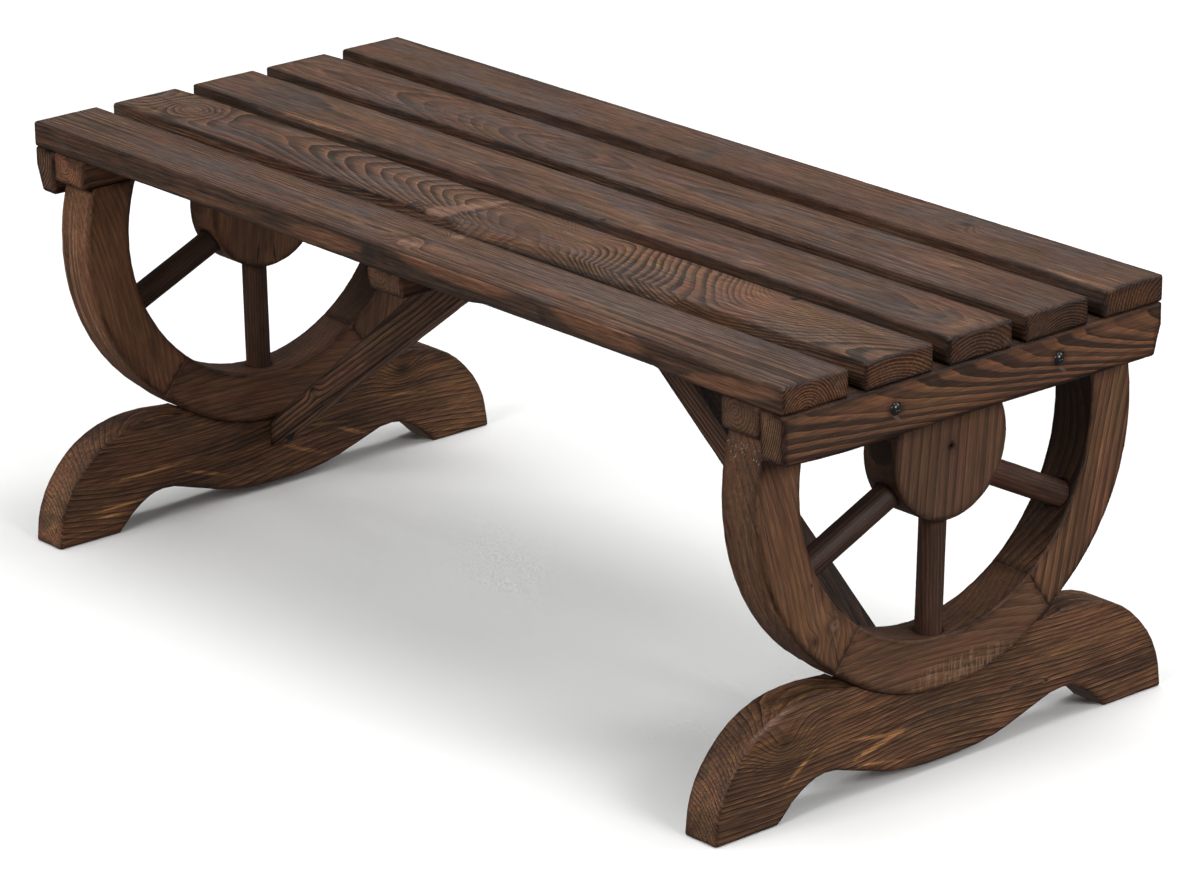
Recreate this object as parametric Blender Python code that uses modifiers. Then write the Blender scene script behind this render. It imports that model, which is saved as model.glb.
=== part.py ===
"""Slatted garden bench carried on two half wagon wheels.

Five slats run the length of the seat. At each end they lie on a batten, with a rail on its
outer side, and a third batten ties them together in the middle. Below each end batten stands
the lower part of a five-piece wagon wheel, sawn off level: three felloes, a hub and three
round spokes. Each wheel rests in the saddle of an ogee foot, and a diagonal brace runs from
each foot up to the middle batten. Every joint is held by black countersunk screws.

Axes: X along the seat, Y across it, Z up. The origin is on the floor under the seat's middle.
All sizes are in metres. Angles of felloes and spokes are measured from straight down, and are
positive towards +Y.
"""
import math

import bmesh
import bpy
from mathutils import Vector

# Clearance between pieces that touch
GAP = 0.0003

# Seat
SEAT_LENGTH = 1.065
SLAT_WIDTHS = (0.0743, 0.0778, 0.0745, 0.0753, 0.0720)
SLAT_GAPS = (0.0183, 0.0181, 0.0155, 0.0195)
SLAT_THICKNESS = 0.0250
SLAT_EDGE = 0.0026

# Rails and battens under the slats
RAIL_THICKNESS = 0.030
LEFT_RAIL_HEIGHT = 0.0425
RIGHT_RAIL_HEIGHT = 0.0475
END_BATTEN_WIDTH = 0.0475
END_BATTEN_HEIGHT = 0.0285
MIDDLE_BATTEN_WIDTH = 0.0468
MIDDLE_BATTEN_HEIGHT = 0.0213
MIDDLE_BATTEN_OFFSET = 0.0046
MIDDLE_BATTEN_SLANT = 0.005
BATTEN_INSET = 0.0006
BATTEN_EDGE = 0.0018

# Bark edge left on the rails
LEFT_WANE_WIDTH = 0.0115
LEFT_WANE_HEIGHT = 0.0300
FRONT_WANE_LENGTH = 0.070
FRONT_WANE_HEIGHT = 0.0040
BACK_WANE_LENGTH = 0.0105
BACK_WANE_HEIGHT = 0.0340

# Wheels
WHEEL_CUT_HEIGHT = 0.0582
RIM_INSET = 0.0125
RIM_WIDTH = 0.0454
RIM_THICKNESS = 0.0465
RIM_SETBACK = 0.0025
RIM_EDGE = 0.0014
FELLOE_SPAN = math.radians(72.0)
FELLOE_OVERRUN = math.radians(12.0)
FELLOE_ARC_OFFSET = 0.0165
LEFT_WHEEL_TURN = math.radians(-3.8)
LEFT_WHEEL_ASIDE = 0.0005
RIGHT_WHEEL_TURN = math.radians(-1.5)
RIGHT_WHEEL_ASIDE = -0.0015

# Hubs and spokes
HUB_RADIUS = 0.066
HUB_THICKNESS = 0.0405
HUB_EDGE = 0.0012
HUB_HOLE_RADIUS = 0.0026
SPOKE_RADIUS = 0.01225
SPOKE_TENON = 0.020
LEFT_SPOKES_ASIDE = -0.0055
RIGHT_SPOKES_ASIDE = 0.0
SPOKES_DROP = 0.0095
LEFT_SPOKE_ANGLES = (-66.2, 0.5, 63.2)
RIGHT_SPOKE_ANGLES = (-66.1, -2.4, 63.2)

# Feet
FOOT_LENGTH = 0.536
FOOT_THICKNESS = 0.0405
FOOT_SADDLE_HEIGHT = 0.0742
FOOT_CREST_RISE = 0.0328
FOOT_CREST_INSET = 0.108
FOOT_PAD_LENGTH = 0.0715
FOOT_ARCH_HEIGHT = 0.0323
FOOT_ARCH_INSET = 0.0535
FOOT_BELLY_HEIGHT = 0.0065
FOOT_SHOULDER_DROP = 0.0030
FOOT_SHOULDER_WIDTH = 0.048
FOOT_EDGE = 0.0026

# Points that round the foot's nose: distance in from the end, and share of the crest's height
FOOT_NOSE = ((0.0055, 0.32), (0.0270, 0.655), (0.0630, 0.905))

# Point that rounds the arch beside the pad: distance from the pad, and share of its height
FOOT_ARCH_SIDE = (0.0270, 0.72)

# Points that ease the arch down to the belly: share of the way, and share of the drop
FOOT_BELLY_CURVE = ((0.29, 0.37), (0.58, 0.83))

# Braces
BRACE_THICKNESS = 0.022
BRACE_EDGE = 0.0012
BRACE_OVERRUN = 0.12
LEFT_BRACE_DEPTH = 0.0215
LEFT_BRACE_TAPER = math.radians(2.4)
LEFT_BRACE_TUCK = 0.0005
LEFT_BRACE_REACH = 0.0526
RIGHT_BRACE_DEPTH = 0.0275
RIGHT_BRACE_TAPER = 0.0
RIGHT_BRACE_TUCK = 0.0221
RIGHT_BRACE_REACH = 0.0127

# Screws: one head for all, and the depth each kind bites into the second piece
SCREW_HEAD_RADIUS = 0.0047
SCREW_HEAD_LAND = 0.0005
SCREW_HEAD_LENGTH = 0.0042
SCREW_SHANK_RADIUS = 0.0021
SCREW_TIP_LENGTH = 0.005
SCREW_SINK = 0.0008
SCREW_RECESS_LENGTH = 0.0052
SCREW_RECESS_WIDTH = 0.0011
SCREW_RECESS_DEPTH = 0.0016
RAIL_SCREW_BITE = 0.020
RAIL_SCREW_RISE = 0.0058
RAIL_SCREW_SPREAD = 0.0959
SLAT_SCREW_BITE = 0.0160
SLAT_SCREW_INSET = 0.0125
RIM_SCREW_BITE = 0.022
RIM_SCREW_INSET = 0.0145
FOOT_SCREW_GRIP = 0.055
FOOT_SCREW_BITE = 0.0245
FOOT_SCREW_SPREAD = 0.040
BRACE_FOOT_GRIP = 0.018
BRACE_FOOT_BITE = 0.026
BRACE_SEAT_GRIP = 0.014
BRACE_SEAT_BITE = 0.0155

# How finely round shapes are divided
FELLOE_SEGMENTS = 16
HUB_SEGMENTS = 48
SADDLE_SEGMENTS = 128
SPOKE_SEGMENTS = 24
SCREW_SEGMENTS = 10
VISIBLE_SCREW_SEGMENTS = 24
FOOT_CURVE_RESOLUTION = 3

# Cutters
SAW_SIZE = 1.2
RELIEF = 0.040
WELD = 0.00001
SMOOTH_ANGLE = math.radians(35.0)
EDGE_ANGLE = math.radians(45.0)

PARTS = "wagon_wheel_bench"
CUTTERS = "cutters"

# Linear colour and roughness of each kind of piece
LOOKS = {
    "slat": ((0.130, 0.083, 0.060), 0.50),
    "rail": ((0.083, 0.041, 0.026), 0.55),
    "batten": ((0.070, 0.040, 0.027), 0.60),
    "rim": ((0.104, 0.051, 0.029), 0.55),
    "hub": ((0.080, 0.041, 0.026), 0.55),
    "spoke": ((0.031, 0.019, 0.015), 0.45),
    "foot": ((0.082, 0.041, 0.024), 0.55),
    "brace": ((0.045, 0.025, 0.017), 0.60),
}
SCREW_LOOK = ((0.018, 0.018, 0.019), 0.40)

# Places that follow from the sizes, seen from the floor up
SEAT_DEPTH = sum(SLAT_WIDTHS) + sum(SLAT_GAPS)
BATTEN_LENGTH = SEAT_DEPTH - 2 * BATTEN_INSET
RIM_JOINT_RADIUS = math.hypot(BATTEN_LENGTH / 2 - RIM_INSET, WHEEL_CUT_HEIGHT)
RIM_INNER_RADIUS = RIM_JOINT_RADIUS - RIM_WIDTH
FELLOE_ARC_RADIUS = math.hypot(
    RIM_JOINT_RADIUS * math.sin(FELLOE_SPAN / 2),
    RIM_JOINT_RADIUS * math.cos(FELLOE_SPAN / 2) - FELLOE_ARC_OFFSET,
)
WHEEL_BOTTOM = FOOT_SADDLE_HEIGHT + GAP
WHEEL_CENTRE = WHEEL_BOTTOM + FELLOE_ARC_RADIUS + FELLOE_ARC_OFFSET
WHEEL_TOP = WHEEL_CENTRE + WHEEL_CUT_HEIGHT
BATTEN_UNDERSIDE = WHEEL_TOP + GAP
BATTEN_TOP = BATTEN_UNDERSIDE + END_BATTEN_HEIGHT
SLAT_UNDERSIDE = BATTEN_TOP + GAP
MIDDLE_BATTEN_UNDERSIDE = BATTEN_TOP - MIDDLE_BATTEN_HEIGHT

# Places that follow from the sizes, seen from the seat's end inwards
SEAT_END = SEAT_LENGTH / 2
RAIL_INNER = SEAT_END - RAIL_THICKNESS
BATTEN_OUTER = RAIL_INNER - GAP
BATTEN_INNER = BATTEN_OUTER - END_BATTEN_WIDTH
RIM_OUTER_FACE = RAIL_INNER - RIM_SETBACK
RIM_INNER_FACE = RIM_OUTER_FACE - RIM_THICKNESS
WHEEL_X = (RIM_OUTER_FACE + RIM_INNER_FACE) / 2
HUB_X = RAIL_INNER - GAP - HUB_THICKNESS / 2
FOOT_INNER_FACE = WHEEL_X - FOOT_THICKNESS / 2

# What differs between the two ends
SIDES = {"left": -1, "right": 1}
RAIL_HEIGHTS = {"left": LEFT_RAIL_HEIGHT, "right": RIGHT_RAIL_HEIGHT}
WHEEL_TURNS = {"left": LEFT_WHEEL_TURN, "right": RIGHT_WHEEL_TURN}
WHEEL_ASIDES = {"left": LEFT_WHEEL_ASIDE, "right": RIGHT_WHEEL_ASIDE}
SPOKES_ASIDE = {"left": LEFT_SPOKES_ASIDE, "right": RIGHT_SPOKES_ASIDE}
SPOKE_ANGLES = {"left": LEFT_SPOKE_ANGLES, "right": RIGHT_SPOKE_ANGLES}
BRACE_DEPTHS = {"left": LEFT_BRACE_DEPTH, "right": RIGHT_BRACE_DEPTH}
BRACE_TAPERS = {"left": LEFT_BRACE_TAPER, "right": RIGHT_BRACE_TAPER}
BRACE_TUCKS = {"left": LEFT_BRACE_TUCK, "right": RIGHT_BRACE_TUCK}
BRACE_REACHES = {"left": LEFT_BRACE_REACH, "right": RIGHT_BRACE_REACH}


def start_clean():
    """Remove the scene's objects and make the two collections."""
    for thing in list(bpy.context.scene.objects):
        bpy.data.objects.remove(thing, do_unlink=True)
    for name in (PARTS, CUTTERS):
        collection = bpy.data.collections.new(name)
        bpy.context.scene.collection.children.link(collection)
        if name == CUTTERS:
            cutters = collection
        else:
            parts = collection
    return parts, cutters


def paint(piece, colour, roughness, metallic=0.0):
    """Give a piece a material of its own."""
    material = bpy.data.materials.new(piece.name + "_finish")
    material.use_nodes = True
    shader = material.node_tree.nodes["Principled BSDF"]
    shader.inputs["Base Color"].default_value = (*colour, 1.0)
    shader.inputs["Roughness"].default_value = roughness
    shader.inputs["Metallic"].default_value = metallic
    piece.data.materials.append(material)


def paint_wood(piece, kind):
    """Stain a wooden piece in the colour of its kind."""
    colour, roughness = LOOKS[kind]
    paint(piece, colour, roughness)


def add_part(name, mesh):
    """Put a mesh into the model as a named piece."""
    piece = bpy.data.objects.new(name, mesh)
    parts_collection.objects.link(piece)
    return piece


def add_cutter(name, mesh):
    """Put a mesh into the model as a tool that is left out of it."""
    cutter = bpy.data.objects.new(name, mesh)
    cutter.hide_render = True
    cutter.display_type = "WIRE"
    cutters_collection.objects.link(cutter)
    return cutter


def box_mesh(name, size):
    """A box of the given size around the origin."""
    mesh = bpy.data.meshes.new(name)
    bm = bmesh.new()
    bmesh.ops.create_cube(bm, size=1.0)
    bmesh.ops.scale(bm, vec=size, verts=bm.verts)
    bm.to_mesh(mesh)
    bm.free()
    return mesh


def rod_mesh(name, radius, length, segments):
    """A round rod along Z around the origin."""
    mesh = bpy.data.meshes.new(name)
    bm = bmesh.new()
    bmesh.ops.create_cone(
        bm, cap_ends=True, segments=segments, radius1=radius, radius2=radius, depth=length
    )
    bm.to_mesh(mesh)
    bm.free()
    mesh.shade_smooth()
    mesh.set_sharp_from_angle(angle=SMOOTH_ANGLE)
    return mesh


def profile_mesh(name, profile):
    """A chain of points (radius, height) for turning about Z."""
    mesh = bpy.data.meshes.new(name)
    points = [(radius, 0.0, height) for radius, height in profile]
    edges = [(i, i + 1) for i in range(len(points) - 1)]
    mesh.from_pydata(points, edges, [])
    return mesh


def turn_profile(piece, segments):
    """Turn a piece's profile about its Z axis into a closed body."""
    turning = piece.modifiers.new("turning", "SCREW")
    turning.steps = segments
    turning.render_steps = segments
    turning.use_merge_vertices = True
    turning.merge_threshold = WELD
    turning.use_smooth_shade = True


def aim(thing, direction):
    """Turn a thing so that its Z axis points along a direction."""
    thing.rotation_mode = "QUATERNION"
    thing.rotation_quaternion = Vector(direction).to_track_quat("Z", "Y")


def cut(piece, cutter):
    """Take the cutter's shape away from the piece."""
    cutting = piece.modifiers.new(cutter.name, "BOOLEAN")
    cutting.operation = "DIFFERENCE"
    cutting.object = cutter


def saw_off(piece, point, normal):
    """Saw away what lies beyond the plane through a point, on the side its normal points to."""
    direction = Vector(normal).normalized()
    saw = add_cutter(piece.name + "_saw", box_mesh("saw", (SAW_SIZE, SAW_SIZE, SAW_SIZE)))
    saw.location = Vector(point) + direction * SAW_SIZE / 2
    aim(saw, direction)
    cut(piece, saw)


def round_edges(piece, width, segments=1):
    """Ease the sharp edges of a piece."""
    easing = piece.modifiers.new("eased_edges", "BEVEL")
    easing.width = width
    easing.segments = segments
    easing.limit_method = "ANGLE"
    easing.angle_limit = EDGE_ANGLE


def make_board(name, kind, size, centre, edge, segments=1):
    """A straight board with eased edges."""
    board = add_part(name, box_mesh(name, size))
    board.location = centre
    round_edges(board, edge, segments)
    paint_wood(board, kind)
    return board


def solid_from_outline(name, kind, outline, thickness, centre):
    """Turn a flat outline curve into a solid that stands across X, with its middle at centre."""
    outline.dimensions = "2D"
    outline.fill_mode = "BOTH"
    outline.extrude = thickness / 2
    guide = bpy.data.objects.new(name + "_outline", outline)
    guide.location = centre
    guide.rotation_euler = (math.pi / 2, 0.0, math.pi / 2)
    parts_collection.objects.link(guide)
    bpy.context.view_layer.update()
    evaluated = guide.evaluated_get(bpy.context.evaluated_depsgraph_get())
    mesh = bpy.data.meshes.new_from_object(evaluated)
    bm = bmesh.new()
    bm.from_mesh(mesh)
    bmesh.ops.remove_doubles(bm, verts=bm.verts, dist=WELD)
    flat = math.radians(0.2)
    bmesh.ops.dissolve_limit(bm, angle_limit=flat, verts=bm.verts, edges=bm.edges)
    bmesh.ops.recalc_face_normals(bm, faces=bm.faces)
    bm.to_mesh(mesh)
    bm.free()
    mesh.shade_smooth()
    mesh.set_sharp_from_angle(angle=SMOOTH_ANGLE)
    solid = add_part(name, mesh)
    solid.matrix_world = guide.matrix_world
    bpy.data.objects.remove(guide)
    paint_wood(solid, kind)
    return solid


def rim_point(radius, angle):
    """Outline point at a radius and an angle from straight down."""
    return radius * math.sin(angle), -radius * math.cos(angle)


def outer_radius(angle):
    """Distance from the wheel's centre to the rim's outer edge.

    The angle is from the middle of the felloe, whose edge is an arc struck from a point a
    little off the wheel's centre, so that each felloe swells a little between its joints.
    """
    along = FELLOE_ARC_OFFSET * math.cos(angle)
    return along + math.sqrt(along ** 2 + FELLOE_ARC_RADIUS ** 2 - FELLOE_ARC_OFFSET ** 2)


def felloe_outline(name, start, end, middle):
    """One sawn piece of the rim, between two angles, shy of its neighbours by the gap."""
    shy = GAP / 2 / RIM_INNER_RADIUS
    angles = []
    for i in range(FELLOE_SEGMENTS + 1):
        share = i / FELLOE_SEGMENTS
        angles.append((start + shy) * (1 - share) + (end - shy) * share)
    points = [rim_point(outer_radius(angle - middle), angle) for angle in angles]
    points += [rim_point(RIM_INNER_RADIUS, angle) for angle in reversed(angles)]
    outline = bpy.data.curves.new(name + "_outline", "CURVE")
    spline = outline.splines.new("POLY")
    spline.points.add(len(points) - 1)
    for target, (across, up) in zip(spline.points, points):
        target.co = (across, up, 0.0, 1.0)
    spline.use_cyclic_u = True
    return outline


def ease_rim_edges(felloe):
    """Ease the curved edges of a felloe, and leave its joints sharp."""
    bm = bmesh.new()
    bm.from_mesh(felloe.data)
    weights = bm.edges.layers.float.new("bevel_weight_edge")
    for edge in bm.edges:
        one, other = (vert.co for vert in edge.verts)
        same_face = abs(one.z - other.z) < WELD
        same_curve = abs(one.xy.length - other.xy.length) < RIM_WIDTH / 2
        if same_face and same_curve:
            edge[weights] = 1.0
    bm.to_mesh(felloe.data)
    bm.free()
    easing = felloe.modifiers.new("eased_edges", "BEVEL")
    easing.width = RIM_EDGE
    easing.segments = 1
    easing.limit_method = "WEIGHT"


def make_slats():
    """The five slats, from front to back, with their middles across the seat."""
    slats = []
    front = -SEAT_DEPTH / 2
    for i, width in enumerate(SLAT_WIDTHS):
        middle = front + width / 2
        size = (SEAT_LENGTH, width, SLAT_THICKNESS)
        centre = (0.0, middle, SLAT_UNDERSIDE + SLAT_THICKNESS / 2)
        slat = make_board(f"slat_{i + 1}", "slat", size, centre, SLAT_EDGE, 2)
        slats.append((slat, middle))
        if i < len(SLAT_GAPS):
            front += width + SLAT_GAPS[i]
    return slats


def make_end_rail(side):
    """The rail across one end, with the bark edge that is left on it."""
    sign = SIDES[side]
    height = RAIL_HEIGHTS[side]
    underside = BATTEN_TOP - height
    size = (RAIL_THICKNESS, BATTEN_LENGTH, height)
    centre = (sign * (SEAT_END - RAIL_THICKNESS / 2), 0.0, (BATTEN_TOP + underside) / 2)
    rail = make_board(f"end_rail_{side}", "rail", size, centre, BATTEN_EDGE)
    if side == "left":
        point = (-SEAT_END, 0.0, underside + LEFT_WANE_HEIGHT)
        saw_off(rail, point, (-LEFT_WANE_HEIGHT, 0.0, -LEFT_WANE_WIDTH))
    else:
        point = (SEAT_END, BATTEN_LENGTH / 2, underside + BACK_WANE_HEIGHT)
        saw_off(rail, point, (0.0, BACK_WANE_HEIGHT, -BACK_WANE_LENGTH))
        point = (SEAT_END, -BATTEN_LENGTH / 2, underside + FRONT_WANE_HEIGHT)
        saw_off(rail, point, (0.0, -FRONT_WANE_HEIGHT, -FRONT_WANE_LENGTH))
    return rail


def make_end_batten(side):
    """The batten that carries the slats on the wheel's cut top."""
    size = (END_BATTEN_WIDTH, BATTEN_LENGTH, END_BATTEN_HEIGHT)
    across = SIDES[side] * (BATTEN_INNER + BATTEN_OUTER) / 2
    centre = (across, 0.0, BATTEN_UNDERSIDE + END_BATTEN_HEIGHT / 2)
    return make_board(f"end_batten_{side}", "batten", size, centre, BATTEN_EDGE)


def make_middle_batten():
    """The batten under the middle of the slats, its front end cut on a slant."""
    size = (MIDDLE_BATTEN_WIDTH, BATTEN_LENGTH, MIDDLE_BATTEN_HEIGHT)
    centre = (MIDDLE_BATTEN_OFFSET, 0.0, BATTEN_TOP - MIDDLE_BATTEN_HEIGHT / 2)
    batten = make_board("middle_batten", "batten", size, centre, BATTEN_EDGE)
    corner = (MIDDLE_BATTEN_OFFSET, -BATTEN_LENGTH / 2, BATTEN_TOP)
    saw_off(batten, corner, (0.0, -MIDDLE_BATTEN_HEIGHT, -MIDDLE_BATTEN_SLANT))
    return batten


def make_rim(side):
    """Three felloes of a five-piece rim, sawn off level under the batten."""
    sign = SIDES[side]
    joint = FELLOE_SPAN / 2
    reach = joint + FELLOE_SPAN + FELLOE_OVERRUN
    turn = WHEEL_TURNS[side]
    spans = {
        "front": (turn - reach, turn - joint, turn - FELLOE_SPAN),
        "bottom": (turn - joint, turn + joint, turn),
        "back": (turn + joint, turn + reach, turn + FELLOE_SPAN),
    }
    felloes = {}
    for place, (start, end, middle) in spans.items():
        name = f"rim_{place}_{side}"
        outline = felloe_outline(name, start, end, middle)
        centre = (sign * WHEEL_X, WHEEL_ASIDES[side], WHEEL_CENTRE)
        felloe = solid_from_outline(name, "rim", outline, RIM_THICKNESS, centre)
        ease_rim_edges(felloe)
        if place != "bottom":
            saw_off(felloe, (0.0, 0.0, WHEEL_TOP), (0.0, 0.0, 1.0))
        felloes[place] = felloe
    return felloes


def make_hub(side):
    """The hub disc, cut flat under the batten, with the small hole at its centre."""
    sign = SIDES[side]
    name = f"hub_{side}"
    centre = (sign * HUB_X, WHEEL_ASIDES[side], WHEEL_CENTRE)
    hub = add_part(name, rod_mesh(name, HUB_RADIUS, HUB_THICKNESS, HUB_SEGMENTS))
    hub.location = centre
    aim(hub, (sign, 0.0, 0.0))
    round_edges(hub, HUB_EDGE)
    paint_wood(hub, "hub")
    saw_off(hub, (0.0, 0.0, WHEEL_TOP), (0.0, 0.0, 1.0))
    drill = rod_mesh("hub_drill", HUB_HOLE_RADIUS, 2 * HUB_THICKNESS, SCREW_SEGMENTS)
    hole = add_cutter(name + "_hole", drill)
    hole.location = centre
    aim(hole, (sign, 0.0, 0.0))
    cut(hub, hole)
    return hub


def distance_to_circle(start, direction, radius):
    """Distance along a direction from a point near the wheel's centre to a circle about it."""
    along = start.dot(direction)
    return math.sqrt(along ** 2 - start.length_squared + radius ** 2) - along


def make_spoke(side, place, angle, hub, felloe):
    """A round spoke, with a tenon in the hub and another in its felloe."""
    direction = Vector((0.0, math.sin(angle), -math.cos(angle)))
    centre = Vector((SIDES[side] * HUB_X, WHEEL_ASIDES[side], WHEEL_CENTRE))
    meeting = Vector((0.0, SPOKES_ASIDE[side], -SPOKES_DROP))
    start = distance_to_circle(meeting, direction, HUB_RADIUS) - SPOKE_TENON
    end = distance_to_circle(meeting, direction, RIM_INNER_RADIUS) + SPOKE_TENON
    middle = centre + meeting + direction * (start + end) / 2
    name = f"spoke_{place}_{side}"
    spoke = add_part(name, rod_mesh(name, SPOKE_RADIUS, end - start, SPOKE_SEGMENTS))
    spoke.location = middle
    aim(spoke, direction)
    paint_wood(spoke, "spoke")
    length = end - start + 2 * GAP
    mortise = add_cutter(
        name + "_mortise", rod_mesh("mortise", SPOKE_RADIUS + GAP, length, SPOKE_SEGMENTS)
    )
    mortise.location = middle
    aim(mortise, direction)
    cut(hub, mortise)
    cut(felloe, mortise)
    return spoke


def foot_half_outline():
    """Points of the foot's outline from the middle of its belly round to its saddle.

    Each is (distance from the middle, height, handle kind).
    """
    half = FOOT_LENGTH / 2
    crest = FOOT_SADDLE_HEIGHT + FOOT_CREST_RISE
    pad = half - FOOT_PAD_LENGTH
    arch = pad - FOOT_ARCH_INSET
    drop = FOOT_ARCH_HEIGHT - FOOT_BELLY_HEIGHT
    points = [(0.0, FOOT_BELLY_HEIGHT, "AUTO")]
    for way, fall in reversed(FOOT_BELLY_CURVE):
        points.append((arch * (1 - way), FOOT_ARCH_HEIGHT - drop * fall, "AUTO"))
    side_inset, side_share = FOOT_ARCH_SIDE
    points.append((arch, FOOT_ARCH_HEIGHT, "AUTO"))
    points.append((pad - side_inset, FOOT_ARCH_HEIGHT * side_share, "AUTO"))
    points.append((pad, 0.0, "VECTOR"))
    points.append((half, 0.0, "VECTOR"))
    for inset, share in FOOT_NOSE:
        points.append((half - inset, crest * share, "AUTO"))
    points.append((half - FOOT_CREST_INSET, crest, "AUTO"))
    shoulder = half - FOOT_CREST_INSET - FOOT_SHOULDER_WIDTH
    points.append((shoulder, crest - FOOT_SHOULDER_DROP, "VECTOR"))
    return points


def foot_outline(name):
    """The foot's whole outline as a smooth curve."""
    right = foot_half_outline()
    left = [(-across, up, handle) for across, up, handle in reversed(right[1:])]
    outline = bpy.data.curves.new(name + "_outline", "CURVE")
    outline.resolution_u = FOOT_CURVE_RESOLUTION
    spline = outline.splines.new("BEZIER")
    points = right + left
    spline.bezier_points.add(len(points) - 1)
    for target, (across, up, handle) in zip(spline.bezier_points, points):
        target.co = (across, up, 0.0)
        target.handle_left_type = handle
        target.handle_right_type = handle
    spline.use_cyclic_u = True
    return outline


def make_foot(side):
    """The ogee foot, hollowed on top to take the rim's bottom felloe."""
    name = f"foot_{side}"
    turn = WHEEL_TURNS[side]
    across = SIDES[side] * WHEEL_X
    foot = solid_from_outline(
        name, "foot", foot_outline(name), FOOT_THICKNESS, (across, 0.0, 0.0)
    )
    round_edges(foot, FOOT_EDGE, 2)
    saddle = add_cutter(
        name + "_saddle",
        rod_mesh("saddle", FELLOE_ARC_RADIUS + GAP, 2 * FOOT_THICKNESS, SADDLE_SEGMENTS),
    )
    shift, drop = rim_point(FELLOE_ARC_OFFSET, turn)
    saddle.location = (across, WHEEL_ASIDES[side] + shift, WHEEL_CENTRE + drop)
    aim(saddle, (1.0, 0.0, 0.0))
    cut(foot, saddle)
    return foot


def screw_profile(length, clearance, relief):
    """Profile of a countersunk screw, or of the hole for it, from the head down."""
    head = SCREW_HEAD_RADIUS + clearance
    shank = SCREW_SHANK_RADIUS + clearance
    points = [
        (0.0, relief),
        (head, relief),
        (head, -SCREW_HEAD_LAND),
        (shank, -SCREW_HEAD_LENGTH),
    ]
    if clearance:
        points.append((shank, -length - clearance))
    else:
        points.append((shank, SCREW_TIP_LENGTH - length))
    points.append((0.0, -length - clearance))
    return points


def drive_screw(name, joint, direction, grip, bite, pieces, segments=SCREW_SEGMENTS):
    """A screw through one piece into the next, and the hole for it in both.

    The joint is the point where the screw leaves the first piece. The grip is the depth of
    the head's top before it, and the bite is the depth of the tip past it.
    """
    direction = Vector(direction).normalized()
    head = Vector(joint) - direction * grip
    length = grip + GAP + bite
    screw = add_part(name, profile_mesh(name, screw_profile(length, 0.0, 0.0)))
    hole = add_cutter(
        name + "_hole", profile_mesh(name + "_hole", screw_profile(length, GAP, RELIEF))
    )
    for thing in (screw, hole):
        thing.location = head
        aim(thing, -direction)
        turn_profile(thing, segments)
    for piece in pieces:
        cut(piece, hole)
    paint(screw, *SCREW_LOOK, metallic=0.9)
    return screw


def cut_cross_recess(screw):
    """The cross in the head of a screw that shows."""
    for long_side, short_side in (
        (SCREW_RECESS_LENGTH, SCREW_RECESS_WIDTH),
        (SCREW_RECESS_WIDTH, SCREW_RECESS_LENGTH),
    ):
        size = (long_side, short_side, 2 * SCREW_RECESS_DEPTH)
        blade = add_cutter(screw.name + "_recess", box_mesh("recess", size))
        blade.location = screw.location
        blade.rotation_mode = "QUATERNION"
        blade.rotation_quaternion = screw.rotation_quaternion
        cut(screw, blade)


def make_brace(side, foot, slat):
    """The diagonal brace from a foot up to the middle batten, with a screw at each end.

    Its upper edge runs straight from just under the rim to the underside of the slats. Its
    depth is measured at its lower end, and its lower edge falls away from there by the taper.
    """
    sign = SIDES[side]
    batten_side = MIDDLE_BATTEN_OFFSET + sign * (MIDDLE_BATTEN_WIDTH / 2 + GAP)
    low = Vector((sign * RIM_INNER_FACE, 0.0, WHEEL_BOTTOM - BRACE_TUCKS[side]))
    high = Vector((batten_side + sign * BRACE_REACHES[side], 0.0, BATTEN_TOP))
    slope = math.atan2(high.z - low.z, abs(low.x - high.x))
    square = Vector((-sign * math.sin(slope), 0.0, -math.cos(slope)))
    length = (high - low).length + 2 * BRACE_OVERRUN
    depth = BRACE_DEPTHS[side] + (high - low).length * math.tan(BRACE_TAPERS[side])
    centre = (low + high) / 2 + square * depth / 2
    brace = make_board(
        f"brace_{side}", "brace", (length, BRACE_THICKNESS, depth), centre, BRACE_EDGE
    )
    brace.rotation_euler = (0.0, sign * slope, 0.0)
    foot_face = sign * (FOOT_INNER_FACE - GAP)
    saw_off(brace, (foot_face, 0.0, 0.0), (sign, 0.0, 0.0))
    saw_off(brace, (0.0, 0.0, BATTEN_TOP), (0.0, 0.0, 1.0))
    saw_off(brace, (batten_side, 0.0, 0.0), (-sign, 0.0, 0.0))
    saw_off(brace, (0.0, 0.0, FOOT_BELLY_HEIGHT), (0.0, 0.0, -1.0))
    lower_slope = slope - BRACE_TAPERS[side]
    lower_square = Vector((-sign * math.sin(lower_slope), 0.0, -math.cos(lower_slope)))
    if BRACE_TAPERS[side]:
        saw_off(brace, low + square * BRACE_DEPTHS[side], lower_square)

    plumb = BRACE_DEPTHS[side] / math.cos(slope)
    foot_end = low.z - (FOOT_INNER_FACE - RIM_INNER_FACE) * math.tan(slope) - plumb / 2
    drive_screw(
        f"brace_foot_screw_{side}", (foot_face, 0.0, foot_end), (sign, 0.0, 0.0),
        BRACE_FOOT_GRIP, BRACE_FOOT_BITE, (brace, foot),
    )
    seat_end = max(0.0, BRACE_REACHES[side] - plumb / math.tan(slope))
    seat_middle = batten_side + sign * (BRACE_REACHES[side] + seat_end) / 2
    drive_screw(
        f"brace_seat_screw_{side}", (seat_middle, 0.0, BATTEN_TOP), (0.0, 0.0, 1.0),
        BRACE_SEAT_GRIP, BRACE_SEAT_BITE, (brace, slat),
    )
    return brace


def screw_down_slats(slats, batten, name, across, grip):
    """One screw up through a batten into the middle of each slat."""
    for number, (slat, middle) in enumerate(slats, start=1):
        drive_screw(
            f"slat_screw_{name}_{number}", (across, middle, BATTEN_TOP), (0.0, 0.0, 1.0),
            grip, SLAT_SCREW_BITE, (batten, slat),
        )


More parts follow.
